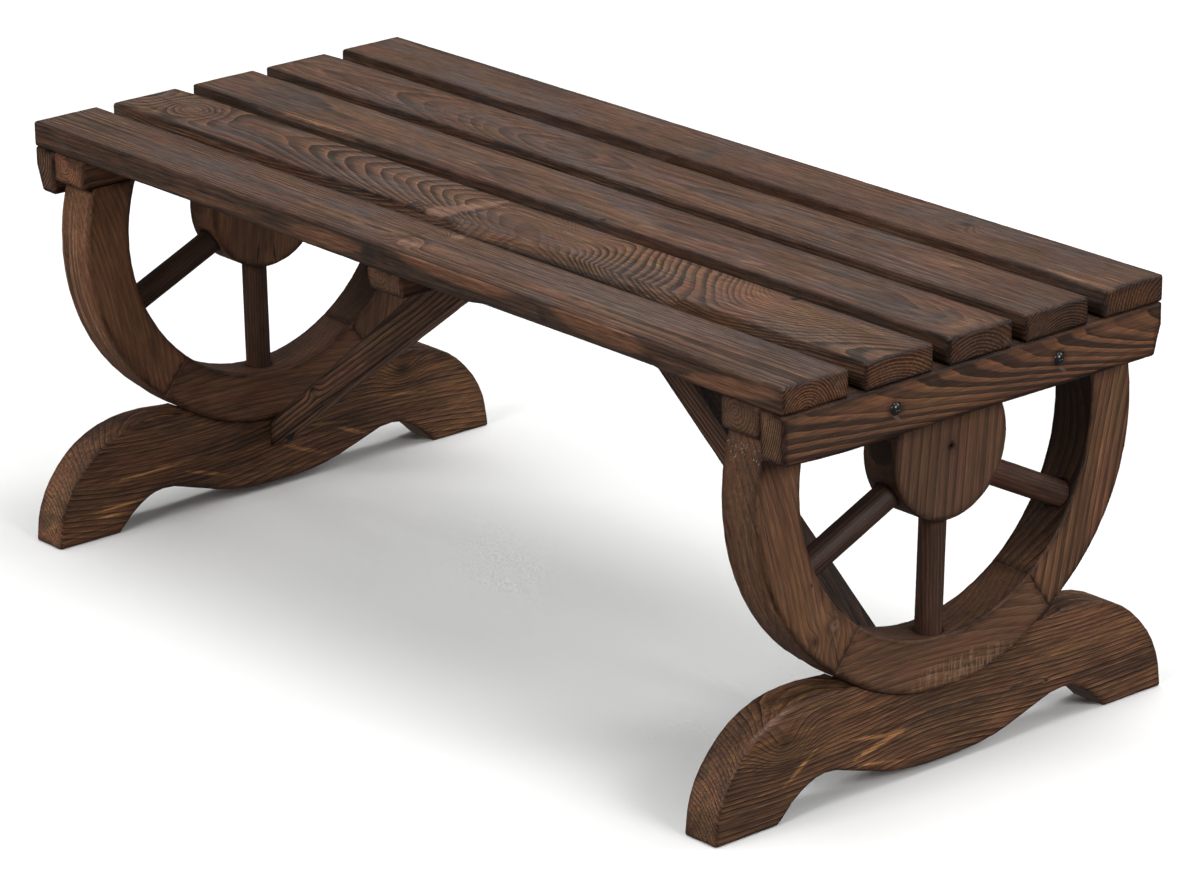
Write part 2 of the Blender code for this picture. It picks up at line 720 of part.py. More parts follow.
def fasten_end(side, rail, batten, felloes, foot):
    """The screws that hold rail, batten, rim and foot together at one end."""
    sign = SIDES[side]
    rim_middle = (RIM_JOINT_RADIUS + RIM_INNER_RADIUS) / 2
    rim_spread = math.sqrt(rim_middle ** 2 - WHEEL_CUT_HEIGHT ** 2)
    for place, way in (("front", -1), ("back", 1)):
        rail_point = (
            sign * RAIL_INNER, way * RAIL_SCREW_SPREAD, BATTEN_UNDERSIDE + RAIL_SCREW_RISE
        )
        rail_screw = drive_screw(
            f"rail_screw_{place}_{side}", rail_point, (-sign, 0.0, 0.0),
            RAIL_THICKNESS - SCREW_SINK, RAIL_SCREW_BITE, (rail, batten), VISIBLE_SCREW_SEGMENTS,
        )
        cut_cross_recess(rail_screw)
        rim_place = WHEEL_ASIDES[side] + way * rim_spread
        rim_point_3d = (sign * (BATTEN_OUTER - RIM_SCREW_INSET), rim_place, BATTEN_UNDERSIDE)
        drive_screw(
            f"rim_screw_{place}_{side}", rim_point_3d, (0.0, 0.0, -1.0),
            END_BATTEN_HEIGHT - SCREW_SINK, RIM_SCREW_BITE, (batten, felloes[place]),
        )
        foot_point = (sign * WHEEL_X, way * FOOT_SCREW_SPREAD, FOOT_SADDLE_HEIGHT)
        drive_screw(
            f"foot_screw_{place}_{side}", foot_point, (0.0, 0.0, 1.0),
            FOOT_SCREW_GRIP, FOOT_SCREW_BITE, (foot, felloes["bottom"]),
        )


def build_bench():
    """Make every piece of the bench."""
    slats = make_slats()
    middle_slat = slats[len(slats) // 2][0]
    middle_batten = make_middle_batten()
    middle_grip = MIDDLE_BATTEN_HEIGHT - SCREW_SINK
    screw_down_slats(slats, middle_batten, "middle", MIDDLE_BATTEN_OFFSET, middle_grip)
    for side, sign in SIDES.items():
        rail = make_end_rail(side)
        batten = make_end_batten(side)
        felloes = make_rim(side)
        hub = make_hub(side)
        placed = zip(("front", "middle", "back"), ("front", "bottom", "back"))
        for (place, felloe), angle in zip(placed, SPOKE_ANGLES[side]):
            make_spoke(side, place, math.radians(angle), hub, felloes[felloe])
        foot = make_foot(side)
        make_brace(side, foot, middle_slat)
        fasten_end(side, rail, batten, felloes, foot)
        across = sign * (BATTEN_INNER + SLAT_SCREW_INSET)
        screw_down_slats(slats, batten, side, across, END_BATTEN_HEIGHT - SCREW_SINK)


parts_collection, cutters_collection = start_clean()
build_bench()
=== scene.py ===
"""Looks of a wagon wheel bench in brushed, burnt and stained softwood.

Each wooden node of the frame is replaced by a finer copy of itself with worn edges and slightly wavy faces.
Its timber is a solid pattern: growth rings around a pith that wanders through the piece, knots that lift the
rings, fibres along the grain, and stain, wear and dents over them, with some painted shade and light on faces
that lie in or out of the light. Lengths are in metres.
"""

import math
from collections import namedtuple

import bmesh
import bpy
from mathutils import Matrix, Vector, kdtree, noise


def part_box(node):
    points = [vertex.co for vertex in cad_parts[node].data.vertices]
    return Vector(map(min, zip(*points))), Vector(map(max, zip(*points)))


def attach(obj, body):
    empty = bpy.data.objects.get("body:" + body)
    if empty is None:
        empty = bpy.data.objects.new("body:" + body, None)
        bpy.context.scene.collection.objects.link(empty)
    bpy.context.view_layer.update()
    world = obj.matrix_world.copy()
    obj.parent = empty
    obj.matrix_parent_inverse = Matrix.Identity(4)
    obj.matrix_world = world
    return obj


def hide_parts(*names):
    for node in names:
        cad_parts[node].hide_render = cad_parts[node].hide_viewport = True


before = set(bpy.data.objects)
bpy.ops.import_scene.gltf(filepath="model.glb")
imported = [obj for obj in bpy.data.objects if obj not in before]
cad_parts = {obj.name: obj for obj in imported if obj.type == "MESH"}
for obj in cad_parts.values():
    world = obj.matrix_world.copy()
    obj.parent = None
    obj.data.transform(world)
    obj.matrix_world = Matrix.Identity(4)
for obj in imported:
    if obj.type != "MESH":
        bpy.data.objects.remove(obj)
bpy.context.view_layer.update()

MM = 0.001
X, Y, Z = Vector((1, 0, 0)), Vector((0, 1, 0)), Vector((0, 0, 1))

# The camera stands where the photograph was taken from.
CAMERA_PLACE = (3.5550, -2.9726, 1.8276)
CAMERA_AZIMUTH = 49.799
CAMERA_ELEVATION = 19.719
CAMERA_ROLL = -0.854
CAMERA_LENS = 159.46
CAMERA_SENSOR = 36.0

FLOOR_SIDE = 60.0
FLOOR_COLOUR = (0.86, 0.86, 0.855)
FLOOR_ROUGHNESS = 0.9
WORLD_COLOUR = (1.0, 1.0, 1.0)
WORLD_STRENGTH = 0.16

# Softboxes: where each stands, what it is turned to, its two sides and its power in watts.
Softbox = namedtuple("Softbox", "name place target sides power")
SOFTBOXES = (
    Softbox("front_softbox", (0.4, -7.2, 4.4), (0.0, 0.0, 0.2), (4.6, 3.2), 430.0),
    Softbox("side_softbox", (7.9, 0.7, 4.4), (0.0, 0.0, 0.2), (4.0, 3.2), 430.0),
    Softbox("back_softbox", (2.9, 6.5, 4.8), (0.0, 0.0, 0.3), (4.4, 3.2), 160.0),
    Softbox("top_softbox", (-0.4, 0.6, 7.0), (0.0, 0.0, 0.3), (5.0, 4.0), 380.0),
)

# The grid that a piece is cut along: steps along the grain and across it, and cuts near the edges of a slat.
STEP_ALONG = 6 * MM
STEP_ACROSS = 4.5 * MM
BOARD_MARGINS = (1.8 * MM, 3.4 * MM)
# Edges sharper than the first angle wear, and those sharper than the second are shaded sharp.
SHARP_ANGLE = math.radians(25)
SMOOTH_ANGLE = math.radians(50)
# Faces that differ by less than this are one flat face.
FLAT_ANGLE = math.radians(0.5)
SAME_PLACE = 1e-6

# A pith is a list of (share of the length, place in millimetres) points. Across is sideways in the face, and
# deep is along its outward normal, so that a negative number lies under the face. Then come the width of a
# ring, the knots and marks, how much the rings wander, how strong they are, a tint of the whole piece (on
# some pieces in the shade under the seat, a painted light), how bright the ends are, how bright the front is
# (below 1 on most rear slats, a painted shade of their fronts in the gaps), and the marks of the front.
Log = namedtuple("Log", "across deep spacing knots marks warp lines tint ends front fronts")
# A knot: place along and across the face, radius, how far it lifts the rings and how dark its core is. On the
# pieces whose face looks along x, the place is given as y and z instead.
Knot = namedtuple("Knot", "along across radius lift dark")
# A mark: its middle, half length, half width and turn in the face, its kind and its strength.
Mark = namedtuple("Mark", "along across half_length half_width turn kind strength")


def log(across, deep, spacing, knots=(), marks=(), warp=1.0, lines=1.0, tint=(1.0, 1.0, 1.0), ends=1.0,
        front=1.0, fronts=()):
    return Log(across, deep, spacing, knots, marks, warp, lines, tint, ends, front, fronts)


# Colours of each kind of timber: early wood, late wood, the stain of dark patches, and bare wood. Then how
# strong the rings, patches, bare streaks, worn edges, fine streaks and clouds are, the tone of the end grain,
# the roughness, the height of the relief, and where in a ring late wood sets in.
Timber = namedtuple(
    "Timber", "early late stain worn contrast patches glow wear streak cloud ends rough relief band")
TIMBERS = {
    "seat": Timber((0.090, 0.045, 0.027), (0.020, 0.011, 0.007), (0.064, 0.052, 0.049), (0.20, 0.094, 0.046),
                   0.9, 0.6, 0.18, 0.2, 0.95, 0.5, (0.93, 0.73, 0.52), 0.52, 1.3, (0.28, 0.72)),
    "rail": Timber((0.150, 0.064, 0.030), (0.040, 0.019, 0.011), (0.050, 0.026, 0.016), (0.28, 0.120, 0.045),
                   1.0, 0.4, 0.3, 0.15, 0.7, 0.4, (1.05, 1.2, 1.3), 0.6, 1.0, (0.30, 0.52)),
    "batten": Timber((0.130, 0.062, 0.034), (0.055, 0.026, 0.015), (0.030, 0.017, 0.011), (0.22, 0.11, 0.055),
                     0.7, 0.6, 0.3, 0.2, 0.8, 0.5, (1.0, 1.0, 1.0), 0.7, 1.2, (0.3, 0.8)),
    "rim": Timber((0.172, 0.078, 0.039), (0.066, 0.029, 0.014), (0.078, 0.038, 0.022), (0.28, 0.135, 0.063),
                  0.85, 0.55, 0.15, 0.25, 0.6, 0.6, (0.9, 0.9, 0.9), 0.6, 0.5, (0.35, 0.75)),
    "hub": Timber((0.122, 0.057, 0.031), (0.036, 0.018, 0.010), (0.066, 0.033, 0.020), (0.20, 0.10, 0.050),
                  0.9, 0.5, 0.1, 0.2, 0.5, 0.5, (0.9, 0.9, 0.9), 0.62, 0.5, (0.45, 0.85)),
    "spoke": Timber((0.064, 0.030, 0.018), (0.024, 0.012, 0.008), (0.016, 0.010, 0.008), (0.14, 0.050, 0.020),
                    0.6, 0.6, 0.25, 0.2, 0.5, 0.6, (0.8, 0.8, 0.8), 0.6, 0.4, (0.2, 0.7)),
    "foot": Timber((0.138, 0.062, 0.030), (0.026, 0.013, 0.008), (0.034, 0.019, 0.012), (0.40, 0.185, 0.068),
                   0.9, 0.6, 0.3, 0.2, 1.0, 0.9, (1.15, 1.2, 1.25), 0.56, 1.0, (0.5, 0.8)),
    "brace": Timber((0.108, 0.050, 0.028), (0.026, 0.013, 0.008), (0.024, 0.014, 0.009), (0.18, 0.10, 0.055),
                    0.95, 0.5, 0.3, 0.2, 0.9, 0.6, (0.7, 0.7, 0.7), 0.66, 1.1, (0.4, 0.75)),
}

# Piths that several pieces share, across and deep.
FELLOE_PITH = (((0, 60), (0.5, 66), (1, 58)), ((0, 44), (0.5, 52), (1, 48)))
BACK_FELLOE_PITH = (((0, 56), (0.5, 64), (1, 60)), ((0, 48), (0.5, 40), (1, 44)))
HUB_PITH = (((0, 160), (1, 160)), ((0, -20), (1, -20)))
SPOKE_PITH = (((0, 30), (1, 32)), ((0, -20), (1, -18)))
BATTEN_PITH = (((0, 6), (1, 14)), ((0, -30), (1, -26)))
BRACE_PITH = (((0, 46), (1, 52)), ((0, -30), (1, -26)))

# The logs of the pieces, measured in each piece's own face.
LOGS = {
    "slat_1": log(
        ((0, -2), (0.5, -8), (1, -12)),
        ((0, -29), (0.5, -31), (1, -30)),
        2.7, (Knot(33, 25, 6, 10, 0.2), Knot(14, -14, 8, 10, 0.3)),
        (Mark(-300, -4, 200, 20, 0, "faint", 0.9), Mark(17, -14, 19, 10, 0, "pale", 0.7),
         Mark(33, 26, 9, 8, 0, "pale", 0.8), Mark(300, 14, 230, 16, 0, "bold", 0.5),
         Mark(-300, -4, 190, 16, 0, "shade", 0.4), Mark(30, -37, 90, 4, 0, "wane", 0.7),
         # The fade mark is a painted greyish sheen over the right half of the top.
         Mark(470, -36, 60, 2, 0, "worn", 0.8), Mark(270, 14, 200, 30, 0, "fade", 0.5)),
        warp=0.3, lines=0.75, ends=1.6,
        fronts=(Mark(0, -12, 900, 60, 0, "calm", 0.65), Mark(-78, -13, 58, 9, 3, "flow", 0.7),
                Mark(-14, -15, 16, 12, 50, "wane", 0.9), Mark(6, -8, 14, 6, -60, "wane", 0.6),
                Mark(105, -2, 84, 11, 0, "flow", 0.9), Mark(110, -13, 84, 2.5, -1, "wane", 0.6),
                Mark(300, -6, 66, 12, -4, "flow", 0.75), Mark(226, -11, 7, 11, 40, "wane", 0.9),
                Mark(366, -18, 22, 7, 5, "wane", 0.8), Mark(470, -14, 62, 8, 6, "flow", 0.8),
                Mark(405, -19, 20, 4, 20, "wane", 0.6), Mark(-440, -8, 64, 6, -3, "flow", 0.4),
                Mark(-250, -16, 80, 5, 2, "flow", 0.4)),
    ),
    "slat_2": log(
        ((0, 10), (0.23, 15), (0.453, 16), (0.537, 0), (0.613, -46), (0.69, -56), (0.777, -60), (0.838, -72),
         (0.904, -56), (0.946, -30), (1, -14)),
        ((0, -98), (0.12, -102), (0.227, -100), (0.453, -69), (0.53, -58), (0.60, -58), (0.70, -90),
         (0.78, -108), (0.87, -104), (1, -94)),
        2.8, (Knot(-461, 4, 20, 19, 0.1),),
        (Mark(78, 0, 92, 60, 0, "faint", 1.0), Mark(205, 0, 90, 60, 0, "bold", 0.35),
         Mark(310, 0, 260, 90, 0, "bright", 0.4), Mark(222, 0, 125, 2000, 0, "wide", 0.45),
         Mark(345, 10, 70, 60, 0, "faint", 0.5), Mark(-365, 4, 60, 18, 0, "faint", 0.8),
         Mark(-461, 4, 9, 6, 0, "pale", 0.5), Mark(-24, 14, 24, 6, 80, "scar", 0.8),
         Mark(-31, -8, 20, 10, 76, "scar", 0.8), Mark(-37, -28, 17, 16, 90, "scar", 0.8),
         Mark(367, 33, 6, 5, 0, "hole", 1.0), Mark(-70, -28, 22, 12, 0, "hatch", 0.9),
         Mark(-14, -2, 36, 2.5, 84, "dark", 0.7), Mark(142, -40, 168, 6, 0, "wane", 0.9)),
        warp=0.45, lines=0.85, ends=1.35, front=1.18,
    ),
    "slat_3": log(
        ((0, 10), (0.3, 4), (0.6, -6), (0.8, 2), (1, -4)),
        ((0, -50), (0.25, -55), (0.5, -50), (0.75, -46), (0.93, -48), (1, -56)),
        3.8, (),
        (Mark(82, -33, 5, 4, 0, "hole", 0.8), Mark(-345, -31, 80, 4, 0, "worn", 0.8),
         Mark(-247, -22, 16, 4, 0, "pale", 0.4), Mark(127, -18, 14, 4, 8, "pale", 0.5),
         Mark(266, -20, 20, 4, 14, "pale", 0.5), Mark(-430, 0, 80, 20, 0, "shade", 0.35),
         Mark(486, -4, 8, 30, 6, "shade", 0.4), Mark(512, -4, 10, 22, 6, "worn", 0.35)),
        lines=0.4, front=0.65,
    ),
    "slat_4": log(
        ((0, -4), (0.2, 2), (0.4, -4), (0.7, 4), (1, 10)),
        ((0, -88), (0.03, -86), (0.17, -81), (0.378, -60), (0.40, -59.5), (0.5, -64), (0.65, -62), (1, -56)),
        2.6, warp=0.35, lines=0.42, front=0.78,
    ),
    "slat_5": log(
        ((0, 30), (0.3, 42), (0.6, 34), (1, 38)),
        ((0, -24), (0.5, -18), (1, -26)),
        3.8, (Knot(315, 10, 10, 14, 0.6),),
        (Mark(495, -27, 50, 6, 0, "worn", 0.9), Mark(-10, -12, 30, 14, -62, "shade", 0.5),
         Mark(308, 22, 24, 5, -72, "shade", 0.6), Mark(326, 30, 18, 4, 40, "shade", 0.5)),
        lines=0.35, front=0.72,
    ),
    "end_rail_right": log(
        ((0, 27), (0.3, 25), (0.7, 23), (1, 20)),
        ((0, -98), (0.3, -93), (1, -74)),
        2.4, (), (Mark(-95, 352, 8, 2, -35, "pale", 0.5), Mark(100, 349, 7, 2, -35, "pale", 0.5)),
        warp=0.35, lines=0.9,
    ),
    "end_rail_left": log(
        ((0, 12), (0.4, -6), (1, 6)),
        ((0, -40), (0.4, -50), (1, -62)),
        3.8,
    ),
    "rim_back_right": log(*BACK_FELLOE_PITH, 7.0, warp=0.5),
    "rim_front_right": log(
        *FELLOE_PITH, 5.5,
        (Knot(-135, 167, 8, 8, 0.0), Knot(-157, 158, 7, 8, 0.9), Knot(-161, 210, 2, 2, 1.0)),
        (Mark(-135, 167, 12, 10, 0, "dark", 0.4), Mark(-135, 167, 7, 6, 0, "pale", 0.8),
         Mark(-134, 168, 2.5, 2, 0, "dark", 0.5), Mark(-150, 180, 22, 12, 60, "worn", 0.25),
         Mark(-196, 222, 66, 16, -74, "scratch", 0.8), Mark(-214, 336, 16, 10, 0, "dust", 0.8)),
        lines=0.45,
    ),
    "rim_bottom_right": log(
        *FELLOE_PITH, 5.5, (), (Mark(20, 90, 75, 14, 2, "scuff", 0.6),), lines=0.55, tint=(0.80, 0.82, 0.84),
    ),
    # Its tint lightens this felloe, which lies in the shade under the seat: painted light.
    "rim_front_left": log(
        *FELLOE_PITH, 5.0,
        (), (Mark(-205, 250, 110, 26, -82, "scratch", 1.0), Mark(-165, 190, 40, 6, -60, "worn", 0.3)),
        lines=0.4, tint=(1.4, 1.36, 1.34),
    ),
    "rim_back_left": log(*BACK_FELLOE_PITH, 7.0, warp=0.5, lines=0.4, tint=(0.75, 0.78, 0.84)),
    "rim_bottom_left": log(*FELLOE_PITH, 5.5, lines=0.5),
    # Its tint lightens the hub, which lies in the shade under the seat: painted light.
    "hub_left": log(
        *HUB_PITH, 11.0, (),
        (Mark(-14, 246, 14, 1.6, 82, "dark", 0.9), Mark(6, 241, 12, 1.4, 96, "dark", 0.9),
         Mark(-4, 252, 10, 1.2, 86, "dark", 0.6)), lines=0.2, warp=0.3, tint=(1.75, 1.7, 1.7),
    ),
    # The tints of these three lighten pieces in the shade under the seat: painted light.
    "end_batten_left": log(*BATTEN_PITH, 3.6, tint=(1.7, 1.5, 1.35)),
    "spoke_middle_left": log(*SPOKE_PITH, 3.0, tint=(1.5, 1.5, 1.5)),
    "spoke_back_right": log(*SPOKE_PITH, 3.0, tint=(1.4, 1.3, 1.3)),
    "spoke_front_right": log(*SPOKE_PITH, 3.0, tint=(0.75, 0.75, 0.75)),
    "brace_left": log(*BRACE_PITH, 4.6, (Knot(-173, 12, 6, 6, 0.9),)),
    "foot_right": log(
        ((0, -84), (0.25, -92), (0.5, -82), (0.8, -90), (1, -94)),
        ((0, -64), (0.4, -56), (0.7, -66), (1, -60)),
        3.5, (Knot(-188, 73, 15, 20, 0.8), Knot(-209, 118, 9, 9, 0.9), Knot(122, 45, 2.5, 2, 1.0)),
        (Mark(-172, 46, 26, 2.6, 33, "worn", 1.0), Mark(-88, 51, 34, 2.4, -10, "worn", 1.0),
         Mark(-80, 42, 34, 3.0, 12, "worn", 1.0), Mark(-60, 47, 16, 3.5, 4, "worn", 0.9),
         Mark(-80, 25, 28, 1.6, -10, "worn", 0.9),
         Mark(-204, 95, 34, 5, 23, "pale", 0.45), Mark(-188, 73, 12, 8, 0, "worn", 0.5),
         Mark(10, 53, 80, 2.4, 0, "grey", 0.8), Mark(88, 50, 34, 3, 2, "grey", 0.9)),
        lines=0.7, warp=0.6,
    ),
    "foot_left": log(
        ((0, -84), (0.3, -96), (0.6, -86), (1, -94)),
        ((0, -60), (0.4, -66), (0.7, -56), (1, -62)),
        3.8, (Knot(157, 86, 13, 14, 0.8),),
        (Mark(-146, 54, 60, 2.2, 0, "worn", 0.9), Mark(-196, 28, 34, 3, 0, "worn", 0.9),
         Mark(-200, 20, 30, 2, -6, "worn", 0.8), Mark(-90, 36, 30, 2.5, -18, "worn", 0.9),
         Mark(30, 32, 30, 2.5, -22, "worn", 0.8), Mark(91, 37, 24, 2.5, -22, "worn", 0.8),
         Mark(60, 52, 40, 1.8, -8, "worn", 0.6), Mark(150, 62, 40, 2.4, -10, "worn", 0.6)),
        lines=0.6, warp=0.8,
    ),
}
# The logs of the pieces that aren't listed.
DEFAULT_LOGS = {
    "batten": log(*BATTEN_PITH, 3.6),
    "hub": log(*HUB_PITH, 11.0, lines=0.6, warp=0.3),
    "spoke": log(*SPOKE_PITH, 3.0),
    "brace": log(*BRACE_PITH, 4.6),
}

# Noises of the timber: scales along the grain, across the face and into it, detail, roughness and distortion.
Texture = namedtuple("Texture", "scales detail rough distort", defaults=(0.5, 0.0))
TEXTURES = {
    "long_waves": Texture((4.0, 22.0, 22.0), 2.0),
    "short_waves": Texture((26.0, 110.0, 110.0), 2.0),
    "fading": Texture((7.0, 22.0, 22.0), 2.0),
    "ragged": Texture((90.0, 320.0, 320.0), 3.0, 0.6),
    "fibre": Texture((40.0, 1100.0, 1100.0), 3.0, 0.65),
    "streak": Texture((8.0, 330.0, 330.0), 3.0, 0.6),
    "cloud": Texture((5.0, 15.0, 15.0), 3.0, 0.55),
    "patch": Texture((7.0, 26.0, 26.0), 3.0, 0.6, 0.6),
    "bare": Texture((9.0, 90.0, 90.0), 4.0, 0.65, 0.4),
    "strokes": Texture((300.0, 40.0, 40.0), 2.0, 0.6),
    "flecks": Texture((300.0, 520.0, 520.0), 1.0),
    "edge_darkening_noise": Texture((20.0, 40.0, 40.0), 3.0, 0.6),
    "rubbed": Texture((14.0, 60.0, 60.0), 4.0, 0.65),
    "scratches": Texture((5.0, 6.0, 330.0), 1.0, 0.4),
    "cracks": Texture((9.0, 420.0, 420.0), 1.0, 0.4),
}
# Where something starts to show and where it shows in full: parts of a ring, heights of a noise, or how much
# the surface faces a direction.
RAMPS = {
    "line": (0.74, 0.90),
    "ring_end": (1.0, 0.93),
    "early": (0.26, 0.02),
    "bare": (0.50, 0.70),
    "patch": (0.42, 0.68),
    "rubbed": (0.30, 0.80),
    "strokes": (0.48, 0.56),
    "scratches": (0.55, 0.63),
    "streaky": (0.40, 0.60),
    "mottled": (0.42, 0.58),
    "dust": (0.64, 0.72),
    "flecks": (0.76, 0.80),
    "cracks": (0.735, 0.77),
    "skin": (-6 * MM, -2 * MM),
    "end_grain": (0.6, 0.9),
    "side": (0.7, 0.4),
    "front": (0.5, 0.9),
    "above": (0.3, 0.8),
    "brace_above": (0.3, 0.7),
    "brace_below": (-0.3, -0.7),
    "wheel_inward": (-0.5, -0.9),
    "wheel_outward": (0.5, 0.9),
    "wheel_back": (0.05, 0.15),
}

# How far a pith can lie from the middle of its face.
PITH_REACH = 0.2
# Each piece takes its own stretch of the noises, this far along from the next one's.
GRAIN_SHIFT = 7.3
# How far the rings wander, in long waves and in short ones.
LONG_WAVES = 4.5 * MM
SHORT_WAVES = 0.4 * MM
# Rings differ in width and in strength, by noises along the radius. The shifts keep the pieces apart in them.
WIDTH_SCALE, WIDTH_SHIFT, WIDTH_SHARE = 55.0, 3.1, 1.1
STRENGTH_SCALE, STRENGTH_SHIFT, STRENGTH_START = 150.0, 1.7, 5.0
STRENGTHS = (0.1, 2.3)
# Rings also fade in and out along the grain.
FADING = (0.1, 2.1)
# The late wood of a ring is a band and a darker line at its end.
BAND_SHARE, LINE_SHARE = 0.7, 0.3
EARLY_SHARE = 0.35
# How strong the rings are on the ends of the slats, whatever they are on the slat's top.
END_RINGS = 1.2
# A knot is drawn out along the grain. Its lift of the rings fades softly and its core fades fast.
KNOT_SQUEEZE = 0.72
LIFT_FADE = -0.55
CORE_FADE = -3.2

# Marks that change the rings. Bright bares the wood under them, and wide draws them out sideways.
RING_MARKS = {"bold": 1.3, "faint": -0.8}
UNDER_MARKS = ("bold", "faint", "bright", "wide")
# Outlines of marks are ragged but for these, and soft but for the crisp ones.
EVEN_MARKS = ("scar", "hole", "bold", "faint", "bright", "wide", "shade", "fade", "calm", "flow")
CRISP_MARKS = ("flow", "scar")
RAGGEDNESS = 0.7
MARK_EDGE = 1.1
SOFT_FULL, CRISP_FULL = 0.35, 0.75
# These go round the edges of a face, and the others stay on its skin.
WRAPPING_MARKS = ("scratch", "dust", "wane")
# Painted marks: stains, waney edges, bare wood and saw marks, and fade, a painted greyish sheen. Worn ones
# take the timber's own worn colour.
MARK_COLOURS = {
    "grey": (0.034, 0.030, 0.028),
    "dark": (0.012, 0.008, 0.006),
    "hatch": (0.014, 0.009, 0.007),
    "shade": (0.046, 0.040, 0.039),
    "wane": (0.030, 0.018, 0.012),
    "fade": (0.112, 0.076, 0.062),
    "calm": (0.048, 0.026, 0.017),
    "flow": (0.150, 0.067, 0.035),
    "scar": (0.155, 0.084, 0.055),
    "hole": (0.004, 0.003, 0.003),
    "pale": (0.19, 0.108, 0.072),
    "scuff": (0.24, 0.14, 0.085),
    "scratch": (0.26, 0.135, 0.075),
    "dust": (0.36, 0.33, 0.29),
}

# How the hue wanders, broadly and finely: the scales of the noise and how far it goes.
HUES = (((9.0, 34.0, 34.0), 0.17), ((45.0, 160.0, 160.0), 0.102))
# The fibres change the brightness more than the streaks do, by this factor.
FIBRE_GAIN = 1.8
# The front faces of the slats are warmer than their tops. Edges are darkened, most in blue and most on the
# boards, partly as scorch and partly as painted shade of the crevices between parts.
FRONT_TONE = (1.08, 1.0, 0.88)
EDGE_SCORCH_AND_SHADE = (1.5, 1.65, 1.75)
BOARD_SCORCH_AND_SHADE = (2.1, 2.4, 2.6)
# Edges are rubbed where this range of noise, added to how near the edge is, is high.
RUBBING = (-1.1, 0.5)
# How strong a mark stays between the streaks and the mottles that break it up.
STREAKY_SHARE, MOTTLED_SHARE = 0.4, 0.1
KNOT_CORE_TONE = 0.45
FLECK_STRENGTH = 0.6
CRACK_STRENGTH = 0.75
CRACK_COLOUR = (0.008, 0.005, 0.004)
# Painted shade: how much darker the faces that look up are, on the feet under the wheels and on the rail tops
# between the slats. A brace's top gets painted shade and its underside painted light.
TOP_PAINTED_SHADES = {"foot": 0.2, "rail": 0.6}
BRACE_PAINTED_TOP_SHADE = 0.55
BRACE_PAINTED_UNDERSIDE_LIGHT = 2.4
# The middle of the wheels, and how much darker the insides of the front and back felloes are, as painted
# shade under the seat, and how much darker the outside is.
WHEEL_HEIGHT = 0.2954
WHEEL_INSIDE = (0.15, 0.66)
WHEEL_OUTSIDE = 0.28
# The relief: late wood and fibres stand up, cracks and the cores of knots lie deep.
LATE_RELIEF, FIBRE_RELIEF = 0.30, 0.35
CRACK_RELIEF, CORE_RELIEF = -0.8, -0.4
RELIEF_STRENGTH = 0.8
# How rough the wood is between its streaks, around the timber's own roughness, and how glossy late wood is.
ROUGHNESS = (-0.12, 0.2)
LATE_GLOSS = -0.08
SPECULAR = 0.3


